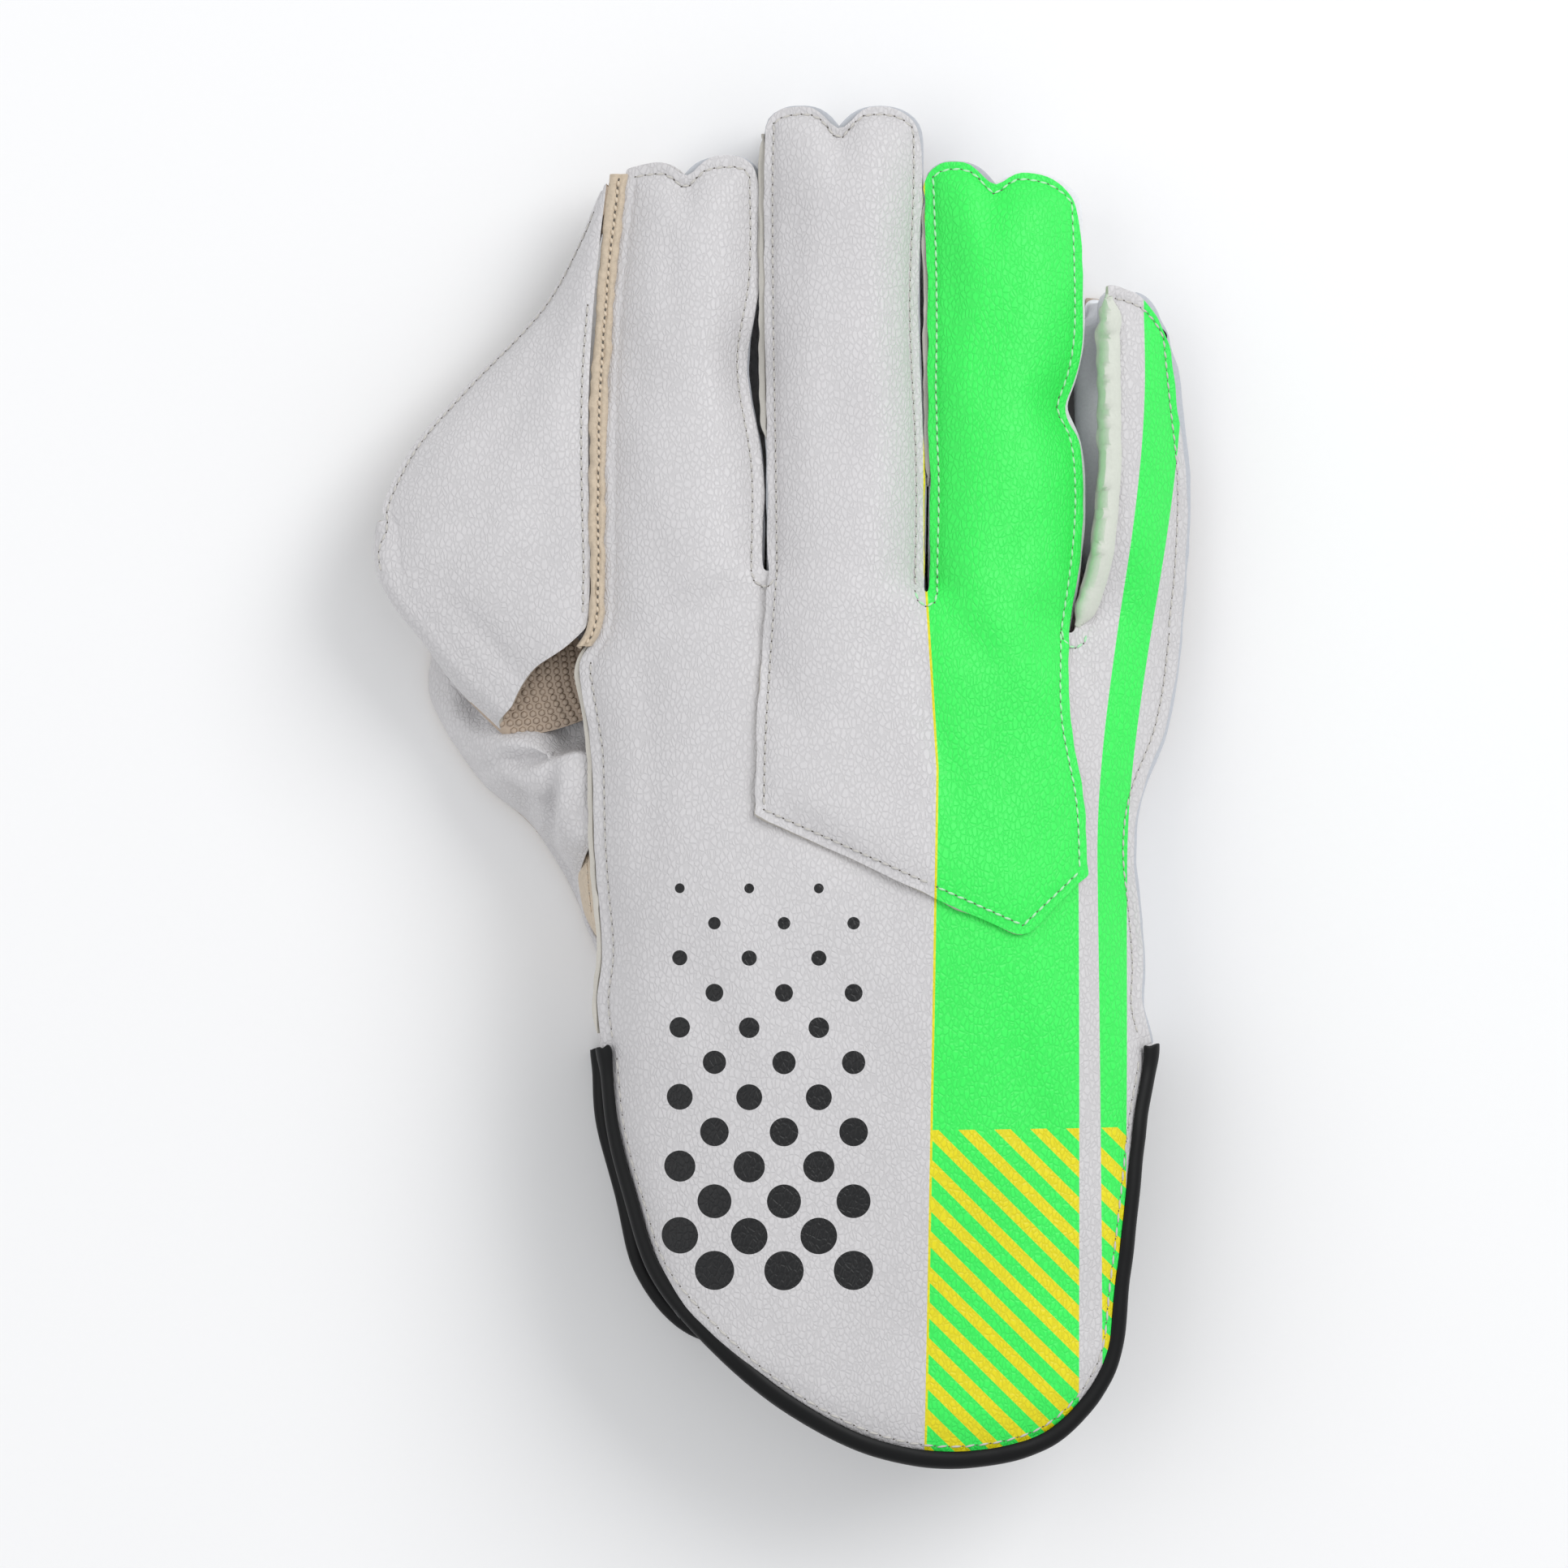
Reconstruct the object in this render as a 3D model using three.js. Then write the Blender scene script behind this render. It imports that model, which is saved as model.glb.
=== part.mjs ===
// Right-hand wicketkeeping glove lying palm down, fingers towards +Y, thumb towards -X, millimetres.
// Every piece is a thin wall laid over one plan outline and one height of the back.

import * as THREE from 'three';

// Finger sizes
const INDEX_WIDTH = 41;
const MIDDLE_WIDTH = 39.7;
const RING_WIDTH = 38.5;
const LITTLE_WIDTH = 25.2;
const INDEX_LENGTH = 107;
const MIDDLE_LENGTH = 126.2;
const RING_LENGTH = 120.5;
const LITTLE_LENGTH = 87.8;
const FINGER_SLIT = 1.4;

// Hand and cuff sizes
const HAND_WIDTH = 148.3;
const HAND_LENGTH = 122.4;
const CUFF_LENGTH = 105.6;
const PALM_CUFF_LENGTH = 76;
const HAND_HEIGHT = 60;
const PALM_ARCH = 5;
const KNUCKLE_Y = 54.6;
const SPLIT_X = 36.4;
const RING_CROTCH_DROP = 5.6;
const LITTLE_CROTCH_DROP = 15.7;
const FINGER_CROWN = 5;
const LITTLE_RIDGE = 8;
const GUSSET_LEAN = 6;

// Web and thumb sizes
const WEB_REACH = 59.8;
const WEB_LENGTH = 120;
const WEB_FOLD_RADIUS = 5;
const SEAM_WIDTH = 3.4;
const THUMB_LENGTH = 103;
const THUMB_REACH = 46.4;
const THUMB_HEIGHT = 40;

// Wall thicknesses, seams and clearances
const LEATHER = 1.6;
const FACING = 2.2;
const GUSSET = 1.2;
const LINING = 1;
const BINDING = 1.1;
const BINDING_WIDTH = 4.8;
const BINDING_PLAY = 0.55;
const WELT = 3;
const PALM_WELT = 1.6;
const GAP = 0.3;
const LAP_GAP = 0.8;
const SEAM_RISE = 0.5;
const THUMB_GUSSET_INSET = 1;
const BINDING_CROWN = 0.1;
const CUFF_RIM_START = 1;
const SLOPE_STEP = 1;

// Finger outlines: sideways shift of each edge, as shares of that finger's width, from root to tip
const FINGER_EDGES = {
  index: [
    { at: 0, left: 0, right: 0 },
    { at: 0.25, left: 0, right: 0 },
    { at: 0.5, left: 0.02, right: -0.1 },
    { at: 0.72, left: 0.06, right: -0.02 },
    { at: 1, left: 0.14, right: -0.025 },
  ],
  middle: [
    { at: 0, left: 0, right: 0 },
    { at: 0.25, left: -0.01, right: 0.012 },
    { at: 0.58, left: -0.025, right: -0.028 },
    { at: 0.85, left: -0.03, right: 0 },
    { at: 1, left: -0.02, right: 0 },
  ],
  ring: [
    { at: 0, left: 0, right: -0.06 },
    { at: 0.12, left: 0.005, right: 0 },
    { at: 0.26, left: 0.01, right: 0.02 },
    { at: 0.42, left: 0, right: -0.115 },
    { at: 0.56, left: 0, right: -0.02 },
    { at: 0.8, left: -0.005, right: 0.015 },
    { at: 1, left: -0.025, right: -0.03 },
  ],
  little: [
    { at: 0, left: -0.09, right: 0.03 },
    { at: 0.2, left: 0.1, right: 0.08 },
    { at: 0.47, left: 0.17, right: 0.1 },
    { at: 0.75, left: 0.15, right: 0 },
    { at: 1, left: 0.22, right: -0.08 },
  ],
};

// Fingertips: drops from the tip line, as shares of that finger's width
const FINGERTIPS = {
  index: { leftDrop: 0.02, rightDrop: 0.22, corner: 0.22, notchAt: 0.45, notch: 0.13, fall: -0.09 },
  middle: { leftDrop: 0.13, rightDrop: 0.25, corner: 0.22, notchAt: 0.47, notch: 0.15, fall: 0 },
  ring: { leftDrop: 0.2, rightDrop: 0.28, corner: 0.24, notchAt: 0.42, notch: 0.15, fall: 0.09 },
  little: { leftDrop: 0.08, rightDrop: 0.46, corner: 0.4, notchAt: 0.3, notch: 0, fall: 0.34 },
};
const NOTCH_SPREAD = 0.09;
const TIP_BLEND = 6;
const RIDGE_EDGE = 0.03;

// Hand outline from the finger roots to the cuff corners, edge shifts as shares of the hand's width
const HAND_EDGES = [
  { at: 0, left: 0, right: 0 },
  { at: 0.125, left: -0.008, right: -0.011 },
  { at: 0.19, left: -0.041, right: -0.02 },
  { at: 0.25, left: -0.037, right: -0.032 },
  { at: 0.37, left: -0.021, right: -0.068 },
  { at: 0.45, left: -0.018, right: -0.082 },
  { at: 0.55, left: -0.016, right: -0.085 },
  { at: 0.65, left: -0.011, right: -0.077 },
  { at: 0.8, left: -0.001, right: -0.069 },
  { at: 0.9, left: -0.01, right: -0.072 },
  { at: 1, left: 0, right: -0.054 },
];

// Cuff edge from its left corner to its right corner, shares of the cuff's width and length
const CUFF_EDGE = [
  { across: 0, down: 0 },
  { across: 0.016, down: 0.2 },
  { across: 0.052, down: 0.384 },
  { across: 0.091, down: 0.538 },
  { across: 0.173, down: 0.677 },
  { across: 0.333, down: 0.863 },
  { across: 0.505, down: 0.976 },
  { across: 0.664, down: 1 },
  { across: 0.818, down: 0.946 },
  { across: 0.921, down: 0.785 },
  { across: 0.949, down: 0.552 },
  { across: 0.981, down: 0.179 },
  { across: 1, down: 0 },
];
const PALM_CUFF_EDGE = [
  { across: -0.03, down: 0 },
  { across: -0.02, down: 0.25 },
  { across: 0.02, down: 0.51 },
  { across: 0.07, down: 0.77 },
  { across: 0.18, down: 0.95 },
  { across: 0.36, down: 1 },
  { across: 0.62, down: 1 },
  { across: 0.8, down: 0.95 },
  { across: 0.89, down: 0.77 },
  { across: 0.93, down: 0.5 },
  { across: 0.96, down: 0.2 },
  { across: 0.965, down: 0 },
];

// Height of the back from the fingertips to the cuff's end, as shares of the hand's height
const BACK_HEIGHTS = [
  { at: 0, left: 0.36, spine: 0.38, right: 0.24 },
  { at: 0.13, left: 0.46, spine: 0.48, right: 0.25 },
  { at: 0.25, left: 0.58, spine: 0.6, right: 0.26 },
  { at: 0.35, left: 0.67, spine: 0.73, right: 0.27 },
  { at: 0.46, left: 0.73, spine: 0.88, right: 0.29 },
  { at: 0.58, left: 0.76, spine: 0.98, right: 0.34 },
  { at: 0.69, left: 0.76, spine: 1, right: 0.44 },
  { at: 0.82, left: 0.7, spine: 0.96, right: 0.52 },
  { at: 1, left: 0.62, spine: 0.87, right: 0.56 },
];
const SPINE_SHARE = 0.28;
const SPINE_LEFT_POWER = 2.3;
const SPINE_RIGHT_POWER = 2.7;

// Web sections from its top point to its open lower end: root, rim and return places as shares of
// the web's length down and its reach out, rim height as a share of the hand's height
const WEB_SECTIONS = [
  { at: 0, rootDown: 0.03, rimDown: 0.05, rimOut: 0.02, rimHeight: 0.36, backDown: 0.3, backOut: 0 },
  { at: 0.12, rootDown: 0.13, rimDown: 0.164, rimOut: 0.126, rimHeight: 0.3, backDown: 0.4, backOut: 0.1 },
  { at: 0.26, rootDown: 0.25, rimDown: 0.303, rimOut: 0.29, rimHeight: 0.28, backDown: 0.5, backOut: 0.2 },
  { at: 0.42, rootDown: 0.42, rimDown: 0.47, rimOut: 0.612, rimHeight: 0.32, backDown: 0.52, backOut: 0.5 },
  { at: 0.56, rootDown: 0.56, rimDown: 0.608, rimOut: 0.846, rimHeight: 0.4, backDown: 0.63, backOut: 0.7 },
  { at: 0.68, rootDown: 0.68, rimDown: 0.75, rimOut: 0.975, rimHeight: 0.5, backDown: 0.77, backOut: 0.76 },
  { at: 0.76, rootDown: 0.76, rimDown: 0.84, rimOut: 1, rimHeight: 0.55, backDown: 0.88, backOut: 0.68 },
  { at: 0.83, rootDown: 0.83, rimDown: 0.925, rimOut: 0.937, rimHeight: 0.58, backDown: 0.98, backOut: 0.53 },
  { at: 0.9, rootDown: 0.9, rimDown: 1.02, rimOut: 0.78, rimHeight: 0.6, backDown: 1.07, backOut: 0.36 },
  { at: 0.95, rootDown: 0.95, rimDown: 1.1, rimOut: 0.65, rimHeight: 0.6, backDown: 1.13, backOut: 0.25 },
  { at: 1, rootDown: 0.99, rimDown: 1.19, rimOut: 0.455, rimHeight: 0.6, backDown: 1.19, backOut: 0.13 },
];
const WEB_FOLD_START = 0.6;
const WEB_CROWN = 3;
const WEB_RETURN_RISE = 1;
const WEB_FALL = 1.8;
const WEB_LIP = 2.5;

// Thumb from its lower end up and under the web: top line and ground line, shares of the thumb's
// length up and reach out, top height as a share of the thumb's height
const THUMB_SECTIONS = [
  { at: 0, topUp: 0.01, topOut: 0.03, height: 0.18, groundUp: -0.02, groundOut: 0.045 },
  { at: 0.12, topUp: 0.096, topOut: 0.115, height: 0.34, groundUp: 0.14, groundOut: 0.18 },
  { at: 0.24, topUp: 0.197, topOut: 0.145, height: 0.58, groundUp: 0.244, groundOut: 0.31 },
  { at: 0.36, topUp: 0.3, topOut: 0.12, height: 0.84, groundUp: 0.33, groundOut: 0.45 },
  { at: 0.46, topUp: 0.41, topOut: 0, height: 0.99, groundUp: 0.42, groundOut: 0.69 },
  { at: 0.57, topUp: 0.5, topOut: 0, height: 0.86, groundUp: 0.54, groundOut: 0.88 },
  { at: 0.65, topUp: 0.565, topOut: 0.02, height: 0.52, groundUp: 0.65, groundOut: 1 },
  { at: 0.73, topUp: 0.63, topOut: 0.1, height: 0.46, groundUp: 0.76, groundOut: 0.98 },
  { at: 0.82, topUp: 0.69, topOut: 0.1, height: 0.42, groundUp: 0.87, groundOut: 0.92 },
  { at: 0.91, topUp: 0.74, topOut: 0.1, height: 0.38, groundUp: 0.97, groundOut: 0.67 },
  { at: 1, topUp: 0.787, topOut: 0.1, height: 0.34, groundUp: 1.01, groundOut: 0.27 },
];
const THUMB_ROUND = 2.3;

// Middle and ring overlay: hem corners as shares of the hand's length and width
const HEM = {
  left: { down: 0.51, across: 0.263 },
  point: { down: 0.768, across: 0.725 },
  right: { down: 0.636, across: 0.838 },
};
const OVERLAY_EDGES = [
  { at: 0, left: 0, right: 0 },
  { at: 0.35, left: -0.003, right: -0.011 },
  { at: 0.7, left: -0.004, right: 0.004 },
  { at: 1, left: 0, right: 0 },
];

// Small helpers
const lerp = THREE.MathUtils.lerp;
const clamp = THREE.MathUtils.clamp;
const smooth = (value, low, high) => THREE.MathUtils.smoothstep(value, low, high);

// Reads one column of a table at a share of its length, on a smooth curve through the rows
function read(rows, column, share) {
  const last = rows.length - 1;
  const s = clamp(share, rows[0].at, rows[last].at);
  let k = 0;
  while (k < last - 1 && s > rows[k + 1].at) {
    k += 1;
  }
  const slope = (n) => {
    const before = rows[Math.max(n - 1, 0)];
    const after = rows[Math.min(n + 1, last)];
    return (after[column] - before[column]) / (after.at - before.at);
  };
  const span = rows[k + 1].at - rows[k].at;
  const t = (s - rows[k].at) / span;
  const t2 = t * t;
  const t3 = t2 * t;
  const start = (2 * t3 - 3 * t2 + 1) * rows[k][column] + (t3 - 2 * t2 + t) * span * slope(k);
  const end = (3 * t2 - 2 * t3) * rows[k + 1][column] + (t3 - t2) * span * slope(k + 1);
  return start + end;
}

// Where each finger starts on the line of crotches
const FINGERS = ['index', 'middle', 'ring', 'little'].map((name) => ({ name }));
const [index, middle, ring, little] = FINGERS;
Object.assign(middle, { width: MIDDLE_WIDTH, length: MIDDLE_LENGTH, right: SPLIT_X - FINGER_SLIT / 2 });
middle.left = middle.right - middle.width;
Object.assign(index, { width: INDEX_WIDTH, length: INDEX_LENGTH, right: middle.left - FINGER_SLIT });
index.left = index.right - index.width;
Object.assign(ring, { width: RING_WIDTH, length: RING_LENGTH, left: SPLIT_X + FINGER_SLIT / 2 });
ring.right = ring.left + ring.width;
Object.assign(little, { width: LITTLE_WIDTH, length: LITTLE_LENGTH, left: ring.right + FINGER_SLIT });
little.right = little.left + little.width;
index.leftY = KNUCKLE_Y;
index.rightY = KNUCKLE_Y;
middle.leftY = KNUCKLE_Y;
middle.rightY = KNUCKLE_Y - RING_CROTCH_DROP;
ring.leftY = middle.rightY;
ring.rightY = KNUCKLE_Y - LITTLE_CROTCH_DROP;
little.leftY = ring.rightY;
little.rightY = ring.rightY;
const TOP_Y = middle.rightY + MIDDLE_LENGTH;
const CUFF_TOP_Y = KNUCKLE_Y - HAND_LENGTH;
const GLOVE_LENGTH = TOP_Y - CUFF_TOP_Y + CUFF_LENGTH;
const HAND_LEFT = index.left;
const SPINE_X = HAND_LEFT + SPINE_SHARE * HAND_WIDTH;

// Plan of one finger: u runs from its left edge to its right, t from its root to its tip
function fingerEdgeX(finger, side, t) {
  return finger[side] + finger.width * read(FINGER_EDGES[finger.name], side, t);
}

function tipDrop(finger, u) {
  const tip = FINGERTIPS[finger.name];
  const round = (v) => (v < tip.corner ? 1 - Math.sqrt(1 - (1 - v / tip.corner) ** 2) : 0);
  const notch = tip.notch * Math.exp(-(((u - tip.notchAt) / NOTCH_SPREAD) ** 2));
  const corners = tip.leftDrop * round(u) + tip.rightDrop * round(1 - u);
  return finger.width * (corners + notch + tip.fall * (u - 0.5));
}

function fingerPlan(finger, u, t) {
  const x = lerp(fingerEdgeX(finger, 'left', t), fingerEdgeX(finger, 'right', t), u);
  const root = lerp(finger.leftY, finger.rightY, u);
  const tip = finger.rightY + finger.length;
  return { x, y: lerp(root, tip, t) - tipDrop(finger, u) * t ** TIP_BLEND };
}

// Plan edges of the hand at a share of the way from the finger roots to the cuff corners
function handEdgeX(side, share) {
  const start = side === 'left' ? fingerEdgeX(index, 'left', 0) : fingerEdgeX(little, 'right', 0);
  return start + HAND_WIDTH * read(HAND_EDGES, side, share);
}

function gloveEdgeX(side, y) {
  const finger = side === 'left' ? index : little;
  const root = finger.rightY;
  const t = (y - root) / finger.length;
  return t > 0 ? fingerEdgeX(finger, side, t) : handEdgeX(side, (root - y) / (root - CUFF_TOP_Y));
}

// Height of the back's outer face over any place in the plan
function fingerCrown(x, y) {
  for (const finger of FINGERS) {
    const t = (y - finger.rightY) / finger.length;
    const left = fingerEdgeX(finger, 'left', t);
    const right = fingerEdgeX(finger, 'right', t);
    const u = (x - left) / (right - left);
    if (u > -RIDGE_EDGE && u < 1 && finger === little) {
      return LITTLE_RIDGE * (1 - u) * smooth(t, 0, 0.3) * (1 - 0.4 * smooth(t, 0.7, 1));
    }
    if (u > 0 && u < 1) {
      return FINGER_CROWN * (1 - (2 * u - 1) ** 2) * smooth(t, -0.28, 0.1) * (1 - 0.5 * smooth(t, 0.8, 1));
    }
  }
  return 0;
}

function backHeight(x, y) {
  const share = (TOP_Y - y) / GLOVE_LENGTH;
  const spine = read(BACK_HEIGHTS, 'spine', share);
  const onLeft = x < SPINE_X;
  const reach = onLeft ? SPINE_X - HAND_LEFT : little.right - SPINE_X;
  const side = read(BACK_HEIGHTS, onLeft ? 'left' : 'right', share);
  const away = Math.abs(x - SPINE_X) / reach;
  const fall = away ** (onLeft ? SPINE_LEFT_POWER : SPINE_RIGHT_POWER);
  return HAND_HEIGHT * (spine + (side - spine) * fall) + fingerCrown(x, y);
}

// Underside of the palm: on the ground at the fingertips and the heel, arched between
function palmHeight(y) {
  const tips = smooth(y, CUFF_TOP_Y + 0.3 * HAND_LENGTH, KNUCKLE_Y);
  const away = 1 - smooth(y, KNUCKLE_Y + 0.1 * INDEX_LENGTH, KNUCKLE_Y + 0.6 * INDEX_LENGTH);
  return PALM_ARCH * tips * away;
}

// A patch filled between four plan curves, each a function of a share from 0 to 1
function patch(top, bottom, left, right) {
  const corners = [top(0), top(1), bottom(0), bottom(1)];
  const blend = (key, u, v) => {
    const rows = lerp(top(u)[key], bottom(u)[key], v) + lerp(left(v)[key], right(v)[key], u);
    const upper = lerp(corners[0][key], corners[1][key], u);
    const lower = lerp(corners[2][key], corners[3][key], u);
    return rows - lerp(upper, lower, v);
  };
  return (u, v) => ({ x: blend('x', u, v), y: blend('y', u, v) });
}

// A smooth plan curve through points, walked by its length
function walk(points) {
  const curve = new THREE.CatmullRomCurve3(points.map((p) => new THREE.Vector3(p.x, p.y, p.z ?? 0)));
  curve.arcLengthDivisions = 400;
  return (share) => curve.getPointAt(clamp(share, 0, 1));
}

// A closed wall over a grid of cells: place gives the outer face, from and to are depths below it
function wall(columns, rows, place, from, to, keep = () => true) {
  const across = columns + 1;
  const count = across * (rows + 1);
  const spots = [];
  for (let j = 0; j <= rows; j += 1) {
    for (let i = 0; i <= columns; i += 1) {
      spots.push(place(i, j));
    }
  }
  const id = (i, j) => j * across + i;
  const kept = (i, j) => i >= 0 && j >= 0 && i < columns && j < rows && keep(i, j);
  const normals = spots.map(() => new THREE.Vector3());
  const faces = [];
  const skin = (a, b, c, d) => {
    faces.push(a, b, c, a, c, d);
    faces.push(a + count, c + count, b + count, a + count, d + count, c + count);
  };
  const hem = (a, b) => faces.push(b, a, a + count, b, a + count, b + count);
  for (let j = 0; j < rows; j += 1) {
    for (let i = 0; i < columns; i += 1) {
      if (kept(i, j)) {
        const ring4 = [id(i, j), id(i, j + 1), id(i + 1, j + 1), id(i + 1, j)];
        const [a, b, c, d] = ring4.map((n) => spots[n]);
        const normal = c.clone().sub(a).cross(d.clone().sub(b));
        ring4.forEach((n) => normals[n].add(normal));
        skin(...ring4);
        const neighbours = [kept(i - 1, j), kept(i, j + 1), kept(i + 1, j), kept(i, j - 1)];
        neighbours.forEach((joined, side) => {
          if (!joined) {
            hem(ring4[side], ring4[(side + 1) % 4]);
          }
        });
      }
    }
  }
  const depth = (spot, n, amount) => spot.clone().addScaledVector(normals[n].clone().normalize(), -amount);
  const outer = spots.map((spot, n) => depth(spot, n, from));
  const inner = spots.map((spot, n) => depth(spot, n, to));
  const used = [...new Set(faces)];
  const order = new Map(used.map((n, k) => [n, k]));
  const all = [...outer, ...inner];
  const geometry = new THREE.BufferGeometry().setFromPoints(used.map((n) => all[n]));
  geometry.setIndex(faces.map((n) => order.get(n)));
  geometry.computeVertexNormals();
  return geometry;
}

// Columns of a comb: each finger's own stops from its left edge to its right, one after the other
function comb(fingers, cells) {
  const stops = [];
  fingers.forEach((finger, n) => {
    for (let k = 0; k <= cells[n]; k += 1) {
      stops.push({ finger, u: k / cells[n] });
    }
  });
  return stops;
}

// A finger's plan drawn in from its outline by an inset, leaned over for the little finger's inner side
function insetPlan(finger, u, t, inset, lean = 0) {
  const side = inset / finger.width;
  const spot = fingerPlan(finger, lerp(side, 1 - side, u), t * (1 - inset / finger.length));
  const leaning = finger === little ? lean * (1 - u) * smooth(t, 0, 0.35) : 0;
  return { x: spot.x - leaning, y: spot.y };
}

// The line of finger roots between two fingers, as a share of its width
function rootLine(fingers, inset) {
  const ends = [];
  for (const finger of fingers) {
    ends.push(insetPlan(finger, 0, 0, inset), insetPlan(finger, 1, 0, inset));
  }
  const first = ends[0];
  const last = ends[ends.length - 1];
  return (share) => {
    const x = lerp(first.x, last.x, share);
    const k = clamp(ends.findIndex((end) => end.x > x), 1, ends.length - 1);
    const n = share >= 1 ? ends.length - 1 : k;
    const step = (x - ends[n - 1].x) / (ends[n].x - ends[n - 1].x);
    return { x, y: lerp(ends[n - 1].y, ends[n].y, step) };
  };
}

// Outline of hand and cuff, walked from the index root down, round the cuff and up to the little root
const OUTLINE_LEFT_SHARE = 0.38;
const OUTLINE_RIGHT_SHARE = 0.64;
const cuffLeft = handEdgeX('left', 1);
const cuffWidth = handEdgeX('right', 1) - cuffLeft;

function cuffPoints(edge, length) {
  return edge.map((row) => ({ x: cuffLeft + cuffWidth * row.across, y: CUFF_TOP_Y - length * row.down }));
}

function handPoints(side) {
  const root = side === 'left' ? index.leftY : little.rightY;
  return HAND_EDGES.map((row) => ({ x: handEdgeX(side, row.at), y: lerp(root, CUFF_TOP_Y, row.at) }));
}

const outline = walk([
  ...handPoints('left').slice(0, -1),
  ...cuffPoints(CUFF_EDGE, CUFF_LENGTH),
  ...handPoints('right').slice(0, -1).reverse(),
]);
const handPatch = patch(
  rootLine(FINGERS, 0),
  (u) => outline(lerp(OUTLINE_LEFT_SHARE, OUTLINE_RIGHT_SHARE, u)),
  (v) => outline(v * OUTLINE_LEFT_SHARE),
  (v) => outline(1 - v * (1 - OUTLINE_RIGHT_SHARE)),
);

// A share across the line of roots for one stop of a comb
function rootShare(stop, fingers, inset) {
  const first = insetPlan(fingers[0], 0, 0, inset).x;
  const last = insetPlan(fingers[fingers.length - 1], 1, 0, inset).x;
  return (insetPlan(stop.finger, stop.u, 0, inset).x - first) / (last - first);
}

const onBack = (spot, lift = 0) => new THREE.Vector3(spot.x, spot.y, backHeight(spot.x, spot.y) + lift);

// White leather back: index finger, hand, little finger and cuff flap in one piece
const HAND_ROWS = 14;
const FINGER_ROWS = 11;
const BACK_STOPS = comb(FINGERS, [6, 5, 5, 5]);

function backPlace(i, j) {
  const stop = BACK_STOPS[i];
  if (j < FINGER_ROWS) {
    return onBack(fingerPlan(stop.finger, stop.u, 1 - j / FINGER_ROWS));
  }
  return onBack(handPatch(rootShare(stop, FINGERS, 0), (j - FINGER_ROWS) / HAND_ROWS));
}

function backKept(i, j) {
  const [from, to] = [BACK_STOPS[i], BACK_STOPS[i + 1]];
  const covered = [middle, ring].includes(from.finger) || [middle, ring].includes(to.finger);
  if (j < FINGER_ROWS) {
    return from.finger === to.finger && !covered;
  }
  const underOverlay = from.finger === to.finger && covered && from.u > 0.1 && to.u < 0.9;
  const betweenOverlay = from.finger === middle && to.finger === ring;
  return !(j === FINGER_ROWS && (underOverlay || betweenOverlay));
}

// Second back panel: middle and ring fingers with a pointed hem, sewn on top of the first
const OVERLAY_ROWS = 7;
const OVERLAY_FINGERS = [middle, ring];
const OVERLAY_STOPS = comb(OVERLAY_FINGERS, [6, 6]);
const OVERLAY_LIFT = LAP_GAP + LEATHER;
const HEM_POINT_STOP = 10;

function hemSpot(name) {
  const corner = HEM[name];
  return { x: HAND_LEFT + HAND_WIDTH * corner.across, y: KNUCKLE_Y - HAND_LENGTH * corner.down };
}

const hemShare = rootShare(OVERLAY_STOPS[HEM_POINT_STOP], OVERLAY_FINGERS, 0);

function hemLine(u) {
  const [from, to] = u < hemShare ? ['left', 'point'] : ['point', 'right'];
  const step = u < hemShare ? u / hemShare : (u - hemShare) / (1 - hemShare);
  const [a, b] = [hemSpot(from), hemSpot(to)];
  return { x: lerp(a.x, b.x, step), y: lerp(a.y, b.y, step) };
}

function overlayEdge(side) {
  const share = side === 'left' ? 0 : 1;
  const root = rootLine(OVERLAY_FINGERS, 0)(share);
  const end = hemLine(share);
  return (v) => ({
    x: lerp(root.x, end.x, v) + HAND_WIDTH * read(OVERLAY_EDGES, side, v),
    y: lerp(root.y, end.y, v),
  });
}

const overlayPatch = patch(rootLine(OVERLAY_FINGERS, 0), hemLine, overlayEdge('left'), overlayEdge('right'));

function overlayPlace(i, j) {
  const stop = OVERLAY_STOPS[i];
  if (j < FINGER_ROWS) {
    return onBack(fingerPlan(stop.finger, stop.u, 1 - j / FINGER_ROWS), OVERLAY_LIFT);
  }
  const share = rootShare(stop, OVERLAY_FINGERS, 0);
  return onBack(overlayPatch(share, (j - FINGER_ROWS) / OVERLAY_ROWS), OVERLAY_LIFT);
}

const sameFinger = (stops, i) => stops[i].finger === stops[i + 1].finger;

// Rubber facing of the palm and four fingers, its top face one facing's thickness above its underside
const PALM_FINGER_ROWS = 8;
const PALM_HAND_ROWS = 8;
const PALM_STOPS = comb(FINGERS, [4, 4, 4, 4]);
const palmSide = (side, inset) => (v) => {
  const root = side === 'left' ? index.leftY : little.rightY;
  const y = lerp(root, CUFF_TOP_Y, v);
  return { x: gloveEdgeX(side, Math.min(y, root)) + (side === 'left' ? inset : -inset), y };
};
const heel = (u) => ({
  x: lerp(palmSide('left', PALM_WELT)(1).x, palmSide('right', PALM_WELT)(1).x, u),
  y: CUFF_TOP_Y,
});
const palmLine = rootLine(FINGERS, PALM_WELT);
const palmPatch = patch(palmLine, heel, palmSide('left', PALM_WELT), palmSide('right', PALM_WELT));

function palmPlace(i, j) {
  const stop = PALM_STOPS[i];
  const spot = j < PALM_FINGER_ROWS
    ? insetPlan(stop.finger, stop.u, 1 - j / PALM_FINGER_ROWS, PALM_WELT, GUSSET_LEAN)
    : palmPatch(rootShare(stop, FINGERS, PALM_WELT), (j - PALM_FINGER_ROWS) / PALM_HAND_ROWS);
  return new THREE.Vector3(spot.x, spot.y, palmHeight(spot.y) + FACING);
}

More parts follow.
